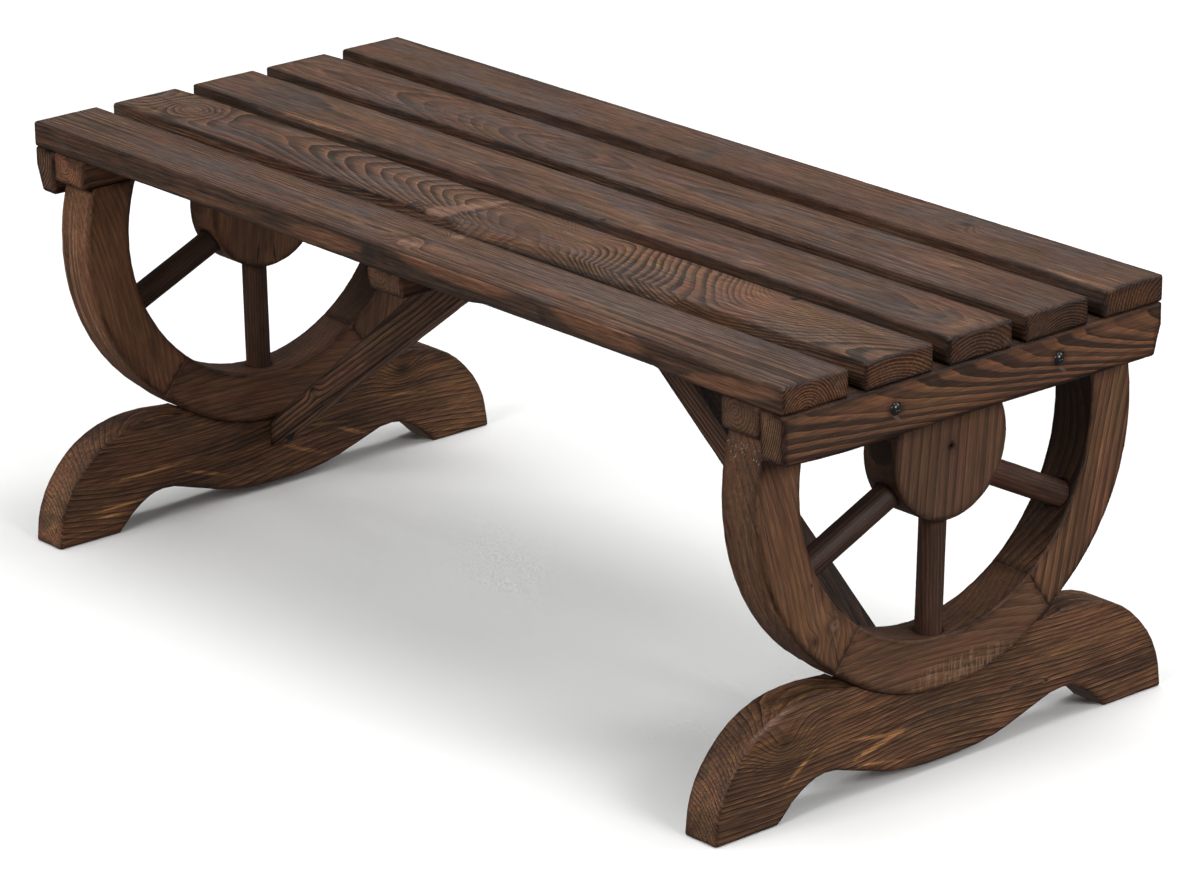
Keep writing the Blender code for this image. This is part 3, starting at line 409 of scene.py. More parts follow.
class Graph:
    """Adds shader nodes to one tree. Inputs are sockets, numbers or tuples of numbers."""

    def __init__(self, tree):
        self.tree = tree

    def add(self, kind, inputs=(), **settings):
        node = self.tree.nodes.new("ShaderNode" + kind)
        for name, value in settings.items():
            setattr(node, name, value)
        for name, value in dict(inputs).items():
            self.feed(node.inputs[name], value)
        return node

    def feed(self, socket, value):
        if isinstance(value, bpy.types.NodeSocket):
            self.tree.links.new(value, socket)
        elif value is not None:
            socket.default_value = value

    def math(self, operation, first, second=None, third=None, clamp=False):
        node = self.add("Math", operation=operation, use_clamp=clamp)
        for socket, value in zip(node.inputs, (first, second, third)):
            self.feed(socket, value)
        return node.outputs[0]

    def plus(self, first, second, clamp=False):
        return self.math("ADD", first, second, clamp=clamp)

    def minus(self, first, second):
        return self.math("SUBTRACT", first, second)

    def times(self, first, second, clamp=False):
        return self.math("MULTIPLY", first, second, clamp=clamp)

    def line(self, value, slope, start, clamp=False):
        """The value times the slope, plus the start."""
        return self.math("MULTIPLY_ADD", value, slope, start, clamp)

    def vector(self, operation, first, second=None, scale=None):
        node = self.add("VectorMath", operation=operation)
        self.feed(node.inputs[0], first)
        self.feed(node.inputs[1], second)
        if scale is not None:
            self.feed(node.inputs["Scale"], scale)
        return node.outputs["Value" if operation in ("DOT_PRODUCT", "LENGTH") else "Vector"]

    def join(self, x, y, z):
        return self.add("CombineXYZ", {"X": x, "Y": y, "Z": z}).outputs[0]

    def split(self, vector):
        return self.add("SeparateXYZ", {"Vector": vector}).outputs

    def noise(self, vector, scale, detail, rough=0.5, distort=0.0, output="Fac"):
        """Noise from 0 to 1 around a half."""
        node = self.add("TexNoise", {"Vector": vector, "Scale": scale, "Detail": detail, "Roughness": rough,
                                     "Distortion": distort})
        return node.outputs[output]

    def hues(self, vector, strength):
        """A colour around white whose channels wander apart by the strength."""
        colour = self.noise(vector, 1.0, 3.0, 0.6, output="Color")
        return self.vector("ADD", self.shade(colour, 2 * strength), (1 - strength,) * 3)

    def wave(self, value, scale, shift):
        """One-dimensional noise."""
        node = self.add("TexNoise", noise_dimensions="1D")
        for name, setting in (("W", self.plus(value, shift)), ("Scale", scale), ("Detail", 1.0)):
            self.feed(node.inputs[name], setting)
        return node.outputs["Fac"]

    def ramp(self, value, low, high):
        """Smoothly from 0 at low to 1 at high."""
        node = self.add("MapRange", {"Value": value, "From Min": low, "From Max": high},
                        interpolation_type="SMOOTHSTEP")
        return node.outputs["Result"]

    def step(self, name, value):
        """One of the named ramps."""
        return self.ramp(value, *RAMPS[name])

    def spread(self, value, low, high):
        """The 0 to 1 value stretched to low to high, unclamped."""
        return self.line(value, high - low, low)

    def mix(self, factor, first, second):
        node = self.add("Mix", data_type="RGBA", clamp_factor=True)
        self.feed(node.inputs[0], factor)
        for socket, value in ((node.inputs[6], first), (node.inputs[7], second)):
            self.feed(socket, (*value, 1.0) if isinstance(value, tuple) else value)
        return node.outputs[2]

    def shade(self, colour, factor):
        """The colour times a number."""
        return self.vector("SCALE", colour, scale=factor)

    def curve(self, value, points):
        """A smooth curve through (place, height) points, both from 0 to 1."""
        node = self.add("FloatCurve", {"Value": value})
        line = node.mapping.curves[0]
        for _ in range(len(points) - 2):
            line.points.new(0.5, 0.5)
        for point, place in zip(line.points, points):
            point.location = place
        node.mapping.update()
        return node.outputs[0]


Face = namedtuple("Face", "origin along across out length")


class TimberGraph(Graph):
    """The shader nodes of one piece's solid timber. u, s and t are the place along the grain, across the face
    and out of it, in metres."""

    def __init__(self, tree, kind, face, log_, seed):
        super().__init__(tree)
        self.kind, self.face, self.log, self.seed = kind, face, log_, seed
        self.timber = TIMBERS[kind]
        self.place = self.add("TexCoord").outputs["Object"]
        local = self.vector("SUBTRACT", self.place, tuple(face.origin))
        self.u, self.s, self.t = (self.vector("DOT_PRODUCT", local, tuple(axis))
                                  for axis in (face.along, face.across, face.out))
        self.grain = self.join(self.line(self.u, 1.0, seed * GRAIN_SHIFT), self.s, self.t)
        self.normal = self.add("NewGeometry").outputs["True Normal"]
        self.edge = self.add("Attribute", attribute_name="edge", attribute_type="GEOMETRY").outputs["Fac"]
        self.end_grain = self.step("end_grain", self.math("ABSOLUTE", self.facing(face.along)))
        self.fibre, self.streak, self.ragged, self.flecks = map(
            self.texture, ("fibre", "streak", "ragged", "flecks"))

    def texture(self, name):
        """One of the named noises."""
        scales, detail, rough, distort = TEXTURES[name]
        return self.noise(self.vector("MULTIPLY", self.grain, scales), 1.0, detail, rough, distort)

    def facing(self, direction):
        """How much the surface faces a direction, from -1 to 1."""
        direction = tuple(direction) if isinstance(direction, Vector) else direction
        return self.vector("DOT_PRODUCT", self.normal, direction)

    def pith(self, share, points):
        """The pith's place in metres along the piece, from (share, millimetres) points."""
        heights = [(place, 0.5 + 0.5 * value * MM / PITH_REACH) for place, value in points]
        return self.line(self.curve(share, heights), 2 * PITH_REACH, -PITH_REACH)

    def knot_fields(self, knot):
        """How much a knot lifts the rings, in metres, and its dark core."""
        u = self.line(self.u, KNOT_SQUEEZE / (knot.radius * MM), -KNOT_SQUEEZE * knot.along / knot.radius)
        s = self.line(self.s, 1 / (knot.radius * MM), -knot.across / knot.radius)
        square = self.plus(self.times(u, u), self.times(s, s))
        lift = self.math("EXPONENT", self.times(square, LIFT_FADE))
        core = self.math("EXPONENT", self.times(square, CORE_FADE))
        return self.times(lift, knot.lift * MM), self.times(core, knot.dark)

    def mark_mask(self, mark, across):
        """A patch, 1 inside and 0 outside. across is s on the face and t on the front of a slat."""
        turn = math.radians(mark.turn)
        cos, sin = math.cos(turn), math.sin(turn)
        half_length, half_width = mark.half_length * MM, mark.half_width * MM
        u = self.minus(self.u, mark.along * MM)
        s = self.minus(across, mark.across * MM)
        length = self.line(u, cos / half_length, self.times(s, sin / half_length))
        width = self.line(u, -sin / half_width, self.times(s, cos / half_width))
        distance = self.math("SQRT", self.plus(self.times(length, length), self.times(width, width)))
        if mark.kind not in EVEN_MARKS:
            distance = self.plus(distance, self.spread(self.ragged, -RAGGEDNESS, RAGGEDNESS))
        full = CRISP_FULL if mark.kind in CRISP_MARKS else SOFT_FULL
        return self.times(self.ramp(distance, MARK_EDGE, full), mark.strength)

    def ring_radius(self):
        """The distance from the pith in metres, and how dark the cores of the knots are."""
        share = self.line(self.u, 1 / self.face.length, 0.5)
        aside = self.minus(self.s, self.pith(share, self.log.across))
        for mark in self.log.marks:
            if mark.kind == "wide":
                aside = self.times(aside, self.minus(1.0, self.mark_mask(mark, self.s)))
        inside = self.minus(self.t, self.pith(share, self.log.deep))
        radius = self.vector("LENGTH", self.join(aside, inside, 0.0))
        for name, reach in (("long_waves", LONG_WAVES * self.log.warp), ("short_waves", SHORT_WAVES)):
            radius = self.plus(radius, self.spread(self.texture(name), -reach, reach))
        core = 0.0
        for knot in self.log.knots:
            lift, dark = self.knot_fields(knot)
            radius = self.plus(radius, lift)
            core = self.plus(core, dark, clamp=True)
        return radius, core

    def rings(self, radius):
        """How much late wood there is, how much bare early wood, and how far bright marks bare the wood."""
        uneven = self.times(self.wave(radius, WIDTH_SCALE, self.seed * WIDTH_SHIFT), WIDTH_SHARE)
        phase = self.math("FRACT", self.line(radius, 1 / (self.log.spacing * MM), uneven))
        band = self.times(self.ramp(phase, *self.timber.band), BAND_SHARE)
        dark = self.times(self.step("line", phase), LINE_SHARE)
        late = self.times(self.plus(band, dark), self.step("ring_end", phase))

        weakest, strongest = (self.log.lines * strength for strength in STRENGTHS)
        strengths = self.wave(radius, STRENGTH_SCALE, self.seed * STRENGTH_SHIFT + STRENGTH_START)
        strength = self.spread(strengths, weakest, strongest)
        strength = self.times(strength, self.spread(self.texture("fading"), *FADING))
        if self.kind == "seat":
            clearer = self.line(self.end_grain, END_RINGS / self.log.lines - 1, 1.0)
            strength = self.times(strength, clearer)
        bright = 0.0
        for mark in self.log.marks:
            if mark.kind == "bright":
                bright = self.plus(bright, self.mark_mask(mark, self.s), clamp=True)
            elif mark.kind in RING_MARKS:
                change = self.line(self.mark_mask(mark, self.s), RING_MARKS[mark.kind], 1.0)
                strength = self.times(strength, change)
        late = self.times(late, strength, clamp=True)
        early = self.times(self.step("early", phase), self.times(strength, EARLY_SHARE), clamp=True)
        return late, early, bright

    def brightness(self):
        """How bright the wood is, from its fibres, streaks and clouds of tone."""
        depth = FIBRE_GAIN * self.timber.streak
        level = self.spread(self.fibre, 1 - depth, 1 + depth)
        for value, depth in ((self.streak, self.timber.streak), (self.texture("cloud"), self.timber.cloud)):
            level = self.times(level, self.spread(value, 1 - depth, 1 + depth))
        return level

    def wood(self, late, early, bright, brightness):
        """The colour of the wood with its stains."""
        timber = self.timber
        bared = self.times(self.step("bare", self.texture("bare")), timber.glow)
        bared = self.math("MAXIMUM", self.math("MAXIMUM", bared, early), bright)
        colour = self.mix(bared, timber.early, timber.worn)
        colour = self.mix(self.times(late, timber.contrast), colour, timber.late)
        colour = self.vector("MULTIPLY", self.shade(colour, brightness), self.log.tint)
        for scales, strength in HUES:
            hues = self.hues(self.vector("MULTIPLY", self.grain, scales), strength)
            colour = self.vector("MULTIPLY", colour, hues)
        stained = self.times(self.step("patch", self.texture("patch")), timber.patches)
        stained = self.times(stained, self.minus(1.0, bright))
        return self.mix(stained, colour, self.shade(timber.stain, brightness))

    def sides(self, colour):
        """The colour with the tones of the piece's ends and fronts, and painted shade and light by the way
        its faces look.
        """
        ends = tuple(self.log.ends * channel for channel in self.timber.ends)
        colour = self.mix(self.end_grain, colour, self.vector("MULTIPLY", colour, ends))
        if self.kind == "rim":
            colour = self.shade(colour, self.painted_wheel_shade())
        # Painted shade on the upward faces of the feet and of the rails between the slats.
        elif self.kind in TOP_PAINTED_SHADES:
            above = self.step("above", self.facing(Z))
            colour = self.shade(colour, self.line(above, -TOP_PAINTED_SHADES[self.kind], 1.0))
        # Painted shade on the brace's top, under the seat, and painted light on its underside.
        elif self.kind == "brace":
            above = self.times(self.step("brace_above", self.facing(Z)), BRACE_PAINTED_TOP_SHADE)
            below = self.times(self.step("brace_below", self.facing(Z)), BRACE_PAINTED_UNDERSIDE_LIGHT)
            colour = self.shade(colour, self.plus(self.minus(1.0, above), below))
        # The front of a slat is warmer, and a front brightness below 1 darkens the fronts of rear slats in
        # the gaps: painted shade.
        elif self.kind == "seat":
            tone = tuple(self.log.front * channel for channel in FRONT_TONE)
            front = self.step("front", self.facing(-Y))
            colour = self.mix(front, colour, self.vector("MULTIPLY", colour, tone))
        return colour

    def painted_wheel_shade(self):
        """Painted shade on the inside of the wheel, most on the back felloe, and darker on its outside."""
        _, y, z = self.split(self.place)
        spoke = self.vector("NORMALIZE", self.join(0.0, y, self.minus(z, WHEEL_HEIGHT)))
        facing = self.facing(spoke)
        inside = self.spread(self.step("wheel_back", y), *WHEEL_INSIDE)
        inward = self.times(self.step("wheel_inward", facing), inside)
        outward = self.times(self.step("wheel_outward", facing), WHEEL_OUTSIDE)
        return self.minus(self.minus(1.0, inward), outward)

    def edges(self, colour, brightness):
        """The colour with edges darkened, partly as scorch and partly as painted shade, and rubbed bare in
        places.
        """
        scorch_and_shade = self.times(self.edge, self.texture("edge_darkening_noise"))
        edge_darkenings = BOARD_SCORCH_AND_SHADE if self.kind in ("seat", "rail") else EDGE_SCORCH_AND_SHADE
        edge_darkening = self.join(*(self.line(scorch_and_shade, -darkening, 1.0, clamp=True) for darkening in edge_darkenings))
        colour = self.vector("MULTIPLY", colour, edge_darkening)
        rubbed = self.plus(self.edge, self.spread(self.texture("rubbed"), *RUBBING))
        rubbed = self.times(self.step("rubbed", rubbed), self.timber.wear)
        return self.mix(rubbed, colour, self.shade(self.timber.worn, brightness))

    def marked(self, colour, brightness):
        """The colour with the marks on the face and on the front."""
        strokes = self.step("strokes", self.texture("strokes"))
        side = self.step("side", self.math("ABSOLUTE", self.facing(self.face.out)))
        breaks = {
            "scuff": strokes,
            "hatch": strokes,
            "scratch": self.times(self.step("scratches", self.texture("scratches")), side),
            "dust": self.step("dust", self.flecks),
            "worn": self.spread(self.step("streaky", self.streak), STREAKY_SHARE, 1.0),
            "grey": self.spread(self.step("mottled", self.ragged), MOTTLED_SHARE, 1.0),
        }
        layers = [(self.s, self.step("skin", self.t), self.log.marks)]
        if self.log.fronts:
            layers.append((self.t, self.step("front", self.facing(-Y)), self.log.fronts))
        for across, skin, marks in layers:
            for mark in marks:
                if mark.kind in UNDER_MARKS:
                    continue
                mask = self.mark_mask(mark, across)
                if mark.kind in breaks:
                    mask = self.times(mask, breaks[mark.kind])
                if mark.kind not in WRAPPING_MARKS:
                    mask = self.times(mask, skin)
                paint = self.shade(MARK_COLOURS.get(mark.kind, self.timber.worn), brightness)
                colour = self.mix(mask, colour, paint)
        return colour

    def finish(self, shader):
        """Makes the whole timber and feeds it to the shader."""
        timber = self.timber
        radius, core = self.ring_radius()
        late, early, bright = self.rings(radius)
        brightness = self.brightness()
        colour = self.wood(late, early, bright, brightness)
        colour = self.edges(self.sides(colour), brightness)
        colour = self.marked(colour, brightness)
        colour = self.mix(core, colour, tuple(KNOT_CORE_TONE * channel for channel in timber.late))
        fleck = self.times(self.step("flecks", self.flecks), FLECK_STRENGTH)
        colour = self.mix(fleck, colour, MARK_COLOURS["pale"])
        crack = self.step("cracks", self.texture("cracks"))
        colour = self.mix(self.times(crack, CRACK_STRENGTH), colour, CRACK_COLOUR)

        height = self.times(self.fibre, FIBRE_RELIEF * timber.relief)
        height = self.line(late, LATE_RELIEF * timber.relief, height)
        height = self.line(crack, CRACK_RELIEF, height)
        height = self.line(core, CORE_RELIEF, height)
        bump = self.add("Bump", {"Height": height, "Strength": RELIEF_STRENGTH, "Distance": MM})
        lowest, highest = (timber.rough + change for change in ROUGHNESS)
        rough = self.line(late, LATE_GLOSS, self.spread(self.streak, lowest, highest))
        self.feed(shader.inputs["Base Color"], colour)
        self.feed(shader.inputs["Roughness"], rough)
        self.feed(shader.inputs["Normal"], bump.outputs[0])
        self.feed(shader.inputs["Specular IOR Level"], SPECULAR)


def new_material(name):
    """A material and its shader."""
    material = bpy.data.materials.new(name)
    material.use_nodes = True
    return material, material.node_tree.nodes["Principled BSDF"]


def timber_material(name, kind, face, log_, seed):
    """The solid timber of one piece. face holds the piece's own axes."""
    material, shader = new_material(name + "_timber")
    TimberGraph(material.node_tree, kind, face, log_, seed).finish(shader)
    return material


SCREW_PAINT = (0.004, 0.004, 0.005)
SCREW_DUST = (0.022, 0.020, 0.020)
SCREW_ROUGHNESS = (0.10, 0.36)
SCREW_MOTTLE = 1400.0


def screw_material():
    """Screws painted black, a little dusty."""
    material, shader = new_material("black_screw")
    graph = Graph(material.node_tree)
    place = graph.add("TexCoord").outputs["Object"]
    mottle = graph.noise(place, SCREW_MOTTLE, 4.0, 0.6)
    bump = graph.add("Bump", {"Height": mottle, "Strength": 0.2, "Distance": 0.1 * MM})
    graph.feed(shader.inputs["Base Color"], graph.mix(graph.ramp(mottle, 0.35, 0.7), SCREW_PAINT, SCREW_DUST))
    graph.feed(shader.inputs["Roughness"], graph.spread(mottle, *SCREW_ROUGHNESS))
    graph.feed(shader.inputs["Normal"], bump.outputs[0])
    return material


def smooth(value):
    """Smoothly from 0 to 1, and flat beyond."""
    value = min(1.0, max(0.0, value))
    return value * value * (3 - 2 * value)


# A domed head, from its middle to its rim: radius and height over the timber in millimetres, then the recess.
HEAD_PROFILE = ((0.8, 3.1), (1.6, 3.0), (2.4, 2.8), (3.2, 2.45), (4.0, 1.95), (4.7, 1.35), (5.3, 0.7),
                (5.7, 0.1), (5.8, -0.5))
HEAD_SIDES = 40
RECESS_REACH = 2.6 * MM
RECESS_WIDTH = 0.55 * MM
RECESS_DEPTH = 1.1 * MM
RECESS_END_FADE = 0.6 * MM
RECESS_SIDE_FADE = 0.4 * MM


def new_object(name, data):
    thing = bpy.data.objects.new(name, data)
    bpy.context.scene.collection.objects.link(thing)
    return thing


def piece_from(mesh, name):
    """A new object of the mesh, shaded smooth but for its sharp edges."""
    data = bpy.data.meshes.new(name)
    mesh.to_mesh(data)
    mesh.free()
    data.shade_smooth()
    data.set_sharp_from_angle(angle=SMOOTH_ANGLE)
    return new_object(name, data)


def domed_screw(node):
    """A rail screw with a rounded head and a cross recess over the head of its node."""
    low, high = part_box(node)
    middle = (low + high) / 2
    side = math.copysign(1, middle.x)
    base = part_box("end_rail_right")[1].x if side > 0 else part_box("end_rail_left")[0].x
    mesh = bmesh.new()
    mesh.from_mesh(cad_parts[node].data)

    def point(radius, angle, height):
        y, z = radius * math.cos(angle), radius * math.sin(angle)
        reach = smooth((RECESS_REACH - radius) / RECESS_END_FADE)
        slot = smooth((RECESS_WIDTH - min(abs(y), abs(z))) / RECESS_SIDE_FADE + 0.5)
        height -= RECESS_DEPTH * reach * slot
        return mesh.verts.new((base + side * height, middle.y + y, middle.z + z))

    rings = [[point(r * MM, 2 * math.pi * i / HEAD_SIDES, h * MM) for i in range(HEAD_SIDES)]
             for r, h in HEAD_PROFILE]
    tip = point(0.0, 0.0, HEAD_PROFILE[0][1] * MM)
    for i in range(HEAD_SIDES):
        j = (i + 1) % HEAD_SIDES
        loops = [(tip, rings[0][i], rings[0][j])]
        loops += [(inner[i], outer[i], outer[j], inner[j]) for inner, outer in zip(rings, rings[1:])]
        for loop in loops:
            mesh.faces.new(loop if side > 0 else loop[::-1])
    return piece_from(mesh, node + "_head")


def grid_planes(low, high, step):
    """Evenly spaced places between two ends, ends left out."""
    count = max(1, round((high - low) / step))
    return [low + (high - low) * i / count for i in range(1, count)]


def cut_along(mesh, direction, step, margins=()):
    """Cuts the mesh along planes square to the direction, and at the margins from its two ends."""
    places = [vertex.co.dot(direction) for vertex in mesh.verts]
    low, high = min(places), max(places)
    extra = [low + margin for margin in margins] + [high - margin for margin in margins]
    for place in grid_planes(low, high, step) + extra:
        everything = mesh.verts[:] + mesh.edges[:] + mesh.faces[:]
        bmesh.ops.bisect_plane(mesh, geom=everything, dist=SAME_PLACE, plane_co=direction * place,
                               plane_no=direction)


POINT_STEP = 2 * MM


def sharp_points(mesh):
    """Points a millimetre or two apart along the sharp edges."""
    points = []
    for edge in mesh.edges:
        if len(edge.link_faces) != 2 or edge.calc_face_angle(0) < SHARP_ANGLE:
            continue
        first, last = (vertex.co for vertex in edge.verts)
        count = max(1, math.ceil((last - first).length / POINT_STEP))
        points += [first.lerp(last, i / count) for i in range(count + 1)]
    return points


def distance_tree(points):
    tree = kdtree.KDTree(len(points))
    for i, point in enumerate(points):
        tree.insert(point, i)
    tree.balance()
    return tree


def in_face(place, face):
    """How far a point lies along, across and out of a face."""
    local = place - face.origin
    return local.dot(face.along), local.dot(face.across), local.dot(face.out)


# Edges planed off a board: from and to along it, the front (-1) or back (1) side, the upper (1) or lower (-1)
# edge and how much, in millimetres.
Shave = namedtuple("Shave", "start end side level depth")
SHAVES = {
    "slat_1": (Shave(140, 365, -1, -1, 7.0), Shave(-360, -285, -1, -1, 3.0)),
    "slat_2": (Shave(5, 285, -1, 1, 8.0),),
    "slat_3": (Shave(-420, -280, -1, 1, 4.0),),
}
# Back corners at the left end that taper, and by how many millimetres.
TAPERS = {"slat_2": 2.6, "slat_4": 2.2}
TAPER_LENGTH = 28 * MM
TAPER_WIDTH = 12 * MM
SHAVE_FADE = 26 * MM


def shape_board(place, face, node, half_width, thickness):
    """The point of a slat after its edges are planed off and its corner tapered."""
    u, s, t = in_face(place, face)
    for shave in SHAVES.get(node, ()):
        fade = smooth((u - shave.start * MM) / SHAVE_FADE + 1)
        fade *= smooth((shave.end * MM - u) / SHAVE_FADE + 1)
        inward = half_width - shave.side * s
        downward = -t if shave.level > 0 else t + thickness
        extra = shave.depth * MM * fade - inward - downward
        if extra > 0:
            s -= shave.side * extra / 2
            t -= shave.level * extra / 2
    taper = TAPERS.get(node, 0.0) * MM * max(0.0, 1 - (u + face.length / 2) / TAPER_LENGTH)
    s -= taper * smooth((s - half_width) / TAPER_WIDTH + 1)
    return face.origin + u * face.along + s * face.across + t * face.out


# The right brace is thicker at its back towards the seat.
BRACE_SWELL = 5 * MM
BRACE_SWELL_LENGTH = 60 * MM
BRACE_THICKNESS = 22 * MM


def swell_brace(place, face):
    """The point of the right brace after its upper half is thickened at the back."""
    u, _, t = in_face(place, face)
    swell = BRACE_SWELL * smooth(u / BRACE_SWELL_LENGTH) * smooth(-t / BRACE_THICKNESS)
    return place - swell * face.out


# Waves and ripples of the faces, and nicks of the edges: how many per metre along the grain, across the face
# and out of it, and how high they are. Edges also lose a little all along.
WAVES, WAVE_HEIGHT = (9, 26, 26), 0.22 * MM
RIPPLES, RIPPLE_HEIGHT = (40, 120, 120), 0.08 * MM
NICKS, NICK_SHIFT, NICK_START, NICK_DEPTH = (70, 70, 70), Vector((9, 4, 2)), 0.12, 0.75 * MM
EDGE_LOSS = 0.10 * MM
EDGE_REACH = 2.2 * MM
SEED_STEP = 3.7


def weather(vertex, normal, face, edge_distance, seed):
    """Moves a vertex by the waves of its face and the wear of its edge."""
    u, s, t = in_face(vertex.co, face)
    grain = Vector((u + SEED_STEP * seed, s, t))
    waves, ripples, dents = (Vector([place * scale for place, scale in zip(grain, scales)])
                             for scales in (WAVES, RIPPLES, NICKS))
    move = WAVE_HEIGHT * noise.noise(waves) + RIPPLE_HEIGHT * noise.noise(ripples)
    nicks = noise.noise(dents + NICK_SHIFT)
    near = math.exp(-edge_distance / EDGE_REACH)
    move -= near * (EDGE_LOSS + NICK_DEPTH * max(0.0, nicks - NICK_START))
    vertex.co += normal * move


def refine(node, face, seed):
    """A finer, weathered copy of a node's mesh as a new object."""
    mesh = bmesh.new()
    mesh.from_mesh(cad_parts[node].data)
    bmesh.ops.remove_doubles(mesh, verts=mesh.verts, dist=SAME_PLACE)
    bmesh.ops.dissolve_limit(mesh, angle_limit=FLAT_ANGLE, verts=mesh.verts, edges=mesh.edges)
    mesh.normal_update()
    edges = distance_tree(sharp_points(mesh))
    margins = BOARD_MARGINS if node.startswith("slat_") else ()
    cut_along(mesh, face.along, STEP_ALONG)
    cut_along(mesh, face.across, STEP_ACROSS, margins)
    cut_along(mesh, face.out, STEP_ACROSS, margins)
    if margins:
        low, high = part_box(node)
        for vertex in mesh.verts:
            vertex.co = shape_board(vertex.co, face, node, (high.y - low.y) / 2, high.z - low.z)
    if node == "brace_right":
        for vertex in mesh.verts:
            vertex.co = swell_brace(vertex.co, face)
    mesh.normal_update()
    mesh.verts.ensure_lookup_table()
    distances = [edges.find(vertex.co)[2] for vertex in mesh.verts]
    normals = [vertex.normal.copy() for vertex in mesh.verts]
    for vertex, normal, distance in zip(mesh.verts, normals, distances):
        weather(vertex, normal, face, distance, seed)
        vertex.co.z = max(vertex.co.z, 0.0)
    piece = piece_from(mesh, node + "_timber")
    wear = piece.data.attributes.new("edge", "FLOAT", "POINT")
    wear.data.foreach_set("value", [math.exp(-distance / EDGE_REACH) for distance in distances])
    return piece


# The kind of timber of each wooden node, from the start of its name.
KINDS = {
    "slat_": "seat",
    "end_rail_": "rail",
    "end_batten_": "batten",
    "middle_batten": "batten",
    "rim_": "rim",
    "hub_": "hub",
    "spoke_": "spoke",
    "foot_": "foot",
    "brace_": "brace",
}


def kind_of(node):
    """The kind of timber of a node, or screw."""
    if "_screw" in node:
        return "screw"
    return next(kind for start, kind in KINDS.items() if node.startswith(start))


# The grain's slope in degrees from the y axis, and the rise of a brace.
FELLOE_LEAN = {"rim_front": -76.0, "rim_bottom": -4.0, "rim_back": 77.0}
SPOKE_LEAN = {"spoke_front": 24.0, "spoke_middle": 90.0, "spoke_back": -27.0}
HUB_LEAN = 84.0
BRACE_RISE = 0.72


def yz_direction(degrees):
    return Vector((0, math.cos(math.radians(degrees)), math.sin(math.radians(degrees))))


def face_of(node, kind):
    """The axes of a piece: along its grain, across the face that shows most, and out of that face."""
    low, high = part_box(node)
    middle = (low + high) / 2
    if kind == "seat":
        along, across, out = X, Y, Z
        origin = Vector((middle.x, middle.y, high.z))
    elif kind == "brace":
        along = Vector((math.copysign(1, middle.x) * -1, 0, BRACE_RISE)).normalized()
        out = -Y
        across = out.cross(along)
        origin = Vector((middle.x, low.y, middle.z))
    else:
        out = X
        along = Y
        if kind == "rim":
            along = yz_direction(FELLOE_LEAN[node.rsplit("_", 1)[0]])
        elif kind == "hub":
            along = yz_direction(HUB_LEAN)
        elif kind == "spoke":
            along = yz_direction(SPOKE_LEAN[node.rsplit("_", 1)[0]])
        across = out.cross(along)
        origin = Vector((high.x, middle.y, middle.z))
    corners = (Vector((x, y, z)) for x in (low.x, high.x) for y in (low.y, high.y) for z in (low.z, high.z))
    length = 2 * max(abs((corner - origin).dot(along)) for corner in corners)
    return Face(origin, along, across, out, length)


def placed(log_, face):
    """The log with its knots and marks moved from y and z to the piece's own axes."""
    def own(item):
        place = Vector((face.origin.x, item.along * MM, item.across * MM)) - face.origin
        lean = math.degrees(math.atan2(face.along.z, face.along.y))
        turn = {"turn": item.turn - lean} if isinstance(item, Mark) else {}
        return item._replace(along=place.dot(face.along) / MM, across=place.dot(face.across) / MM, **turn)

    return log_._replace(knots=tuple(map(own, log_.knots)), marks=tuple(map(own, log_.marks)))


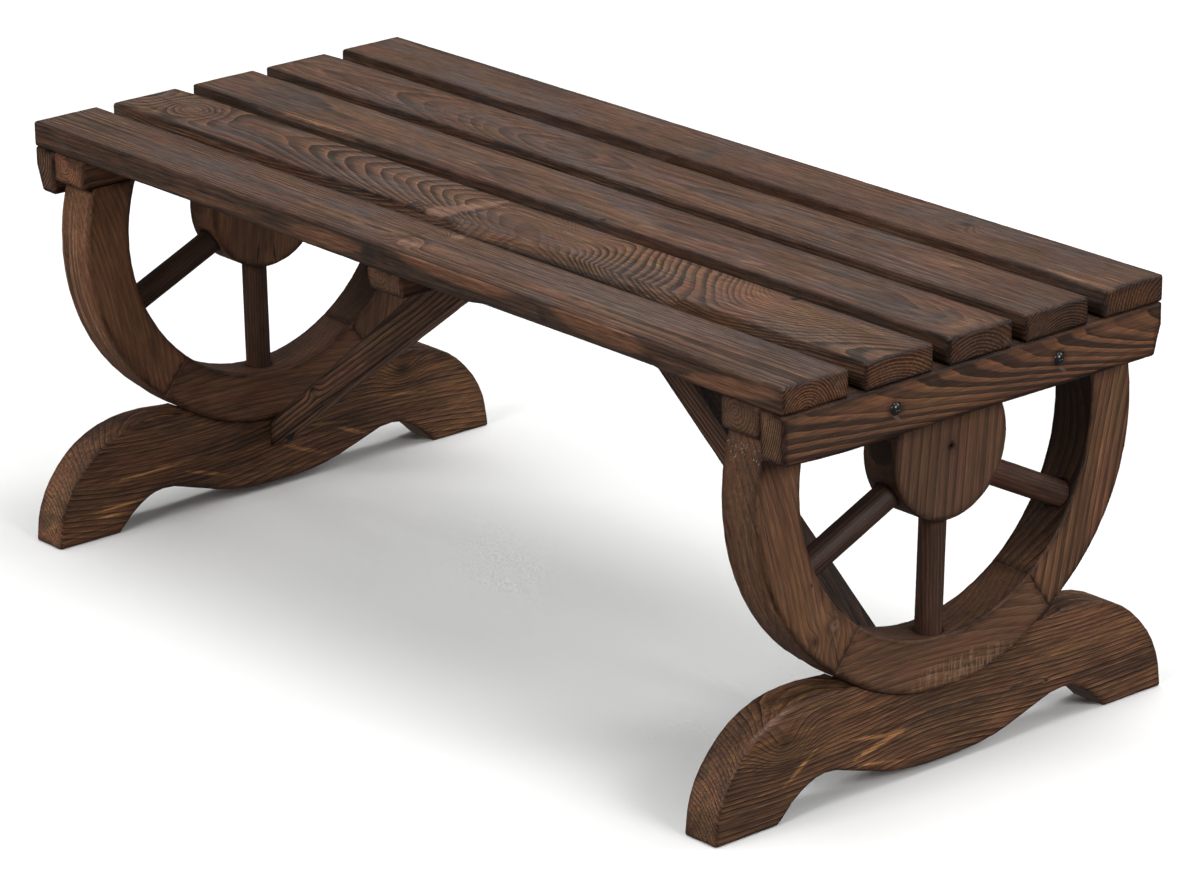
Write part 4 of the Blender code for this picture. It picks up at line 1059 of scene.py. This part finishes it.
def make_pieces():
    paint = screw_material()
    for seed, node in enumerate(sorted(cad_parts)):
        kind = kind_of(node)
        if kind == "screw":
            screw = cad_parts[node]
            if node.startswith("rail_screw"):
                screw = domed_screw(node)
                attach(screw, "root")
                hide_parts(node)
            screw.data.materials.clear()
            screw.data.materials.append(paint)
            continue
        face = face_of(node, kind)
        piece = refine(node, face, seed)
        log_ = LOGS[node] if node in LOGS else DEFAULT_LOGS[kind]
        if face.out == X:
            log_ = placed(log_, face)
        piece.data.materials.append(timber_material(node, kind, face, log_, seed))
        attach(piece, "root")
        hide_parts(node)


def make_camera():
    azimuth, elevation = math.radians(CAMERA_AZIMUTH), math.radians(CAMERA_ELEVATION)
    back = Vector((math.sin(azimuth) * math.cos(elevation), -math.cos(azimuth) * math.cos(elevation),
                   math.sin(elevation)))
    right = Z.cross(back).normalized()
    up = back.cross(right)
    turn = Matrix.Rotation(math.radians(CAMERA_ROLL), 3, back)
    rows = Matrix((turn @ right, turn @ up, back)).transposed()
    camera = new_object("camera", bpy.data.cameras.new("camera"))
    camera.data.lens = CAMERA_LENS
    camera.data.sensor_width = CAMERA_SENSOR
    camera.matrix_world = Matrix.Translation(CAMERA_PLACE) @ rows.to_4x4()
    bpy.context.scene.camera = camera


def make_lights():
    for box in SOFTBOXES:
        data = bpy.data.lights.new(box.name, "AREA")
        data.shape = "RECTANGLE"
        data.size, data.size_y = box.sides
        data.energy = box.power
        light = new_object(box.name, data)
        light.location = box.place
        light.rotation_euler = (Vector(box.target) - Vector(box.place)).to_track_quat("-Z", "Y").to_euler()
    world = bpy.data.worlds.new("studio")
    world.use_nodes = True
    background = world.node_tree.nodes["Background"]
    background.inputs["Color"].default_value = (*WORLD_COLOUR, 1)
    background.inputs["Strength"].default_value = WORLD_STRENGTH
    bpy.context.scene.world = world
    bpy.context.scene.view_settings.view_transform = "Standard"


def make_floor():
    mesh = bmesh.new()
    bmesh.ops.create_grid(mesh, x_segments=1, y_segments=1, size=FLOOR_SIDE / 2)
    data = bpy.data.meshes.new("floor")
    mesh.to_mesh(data)
    mesh.free()
    floor = new_object("floor", data)
    material, shader = new_material("pale_floor")
    shader.inputs["Base Color"].default_value = (*FLOOR_COLOUR, 1)
    shader.inputs["Roughness"].default_value = FLOOR_ROUGHNESS
    data.materials.append(material)
    # The timber is lit by the softboxes, not by the glare of the floor.
    floor.visible_diffuse = False
    floor.visible_glossy = False


make_camera()
make_pieces()
make_lights()
make_floor()
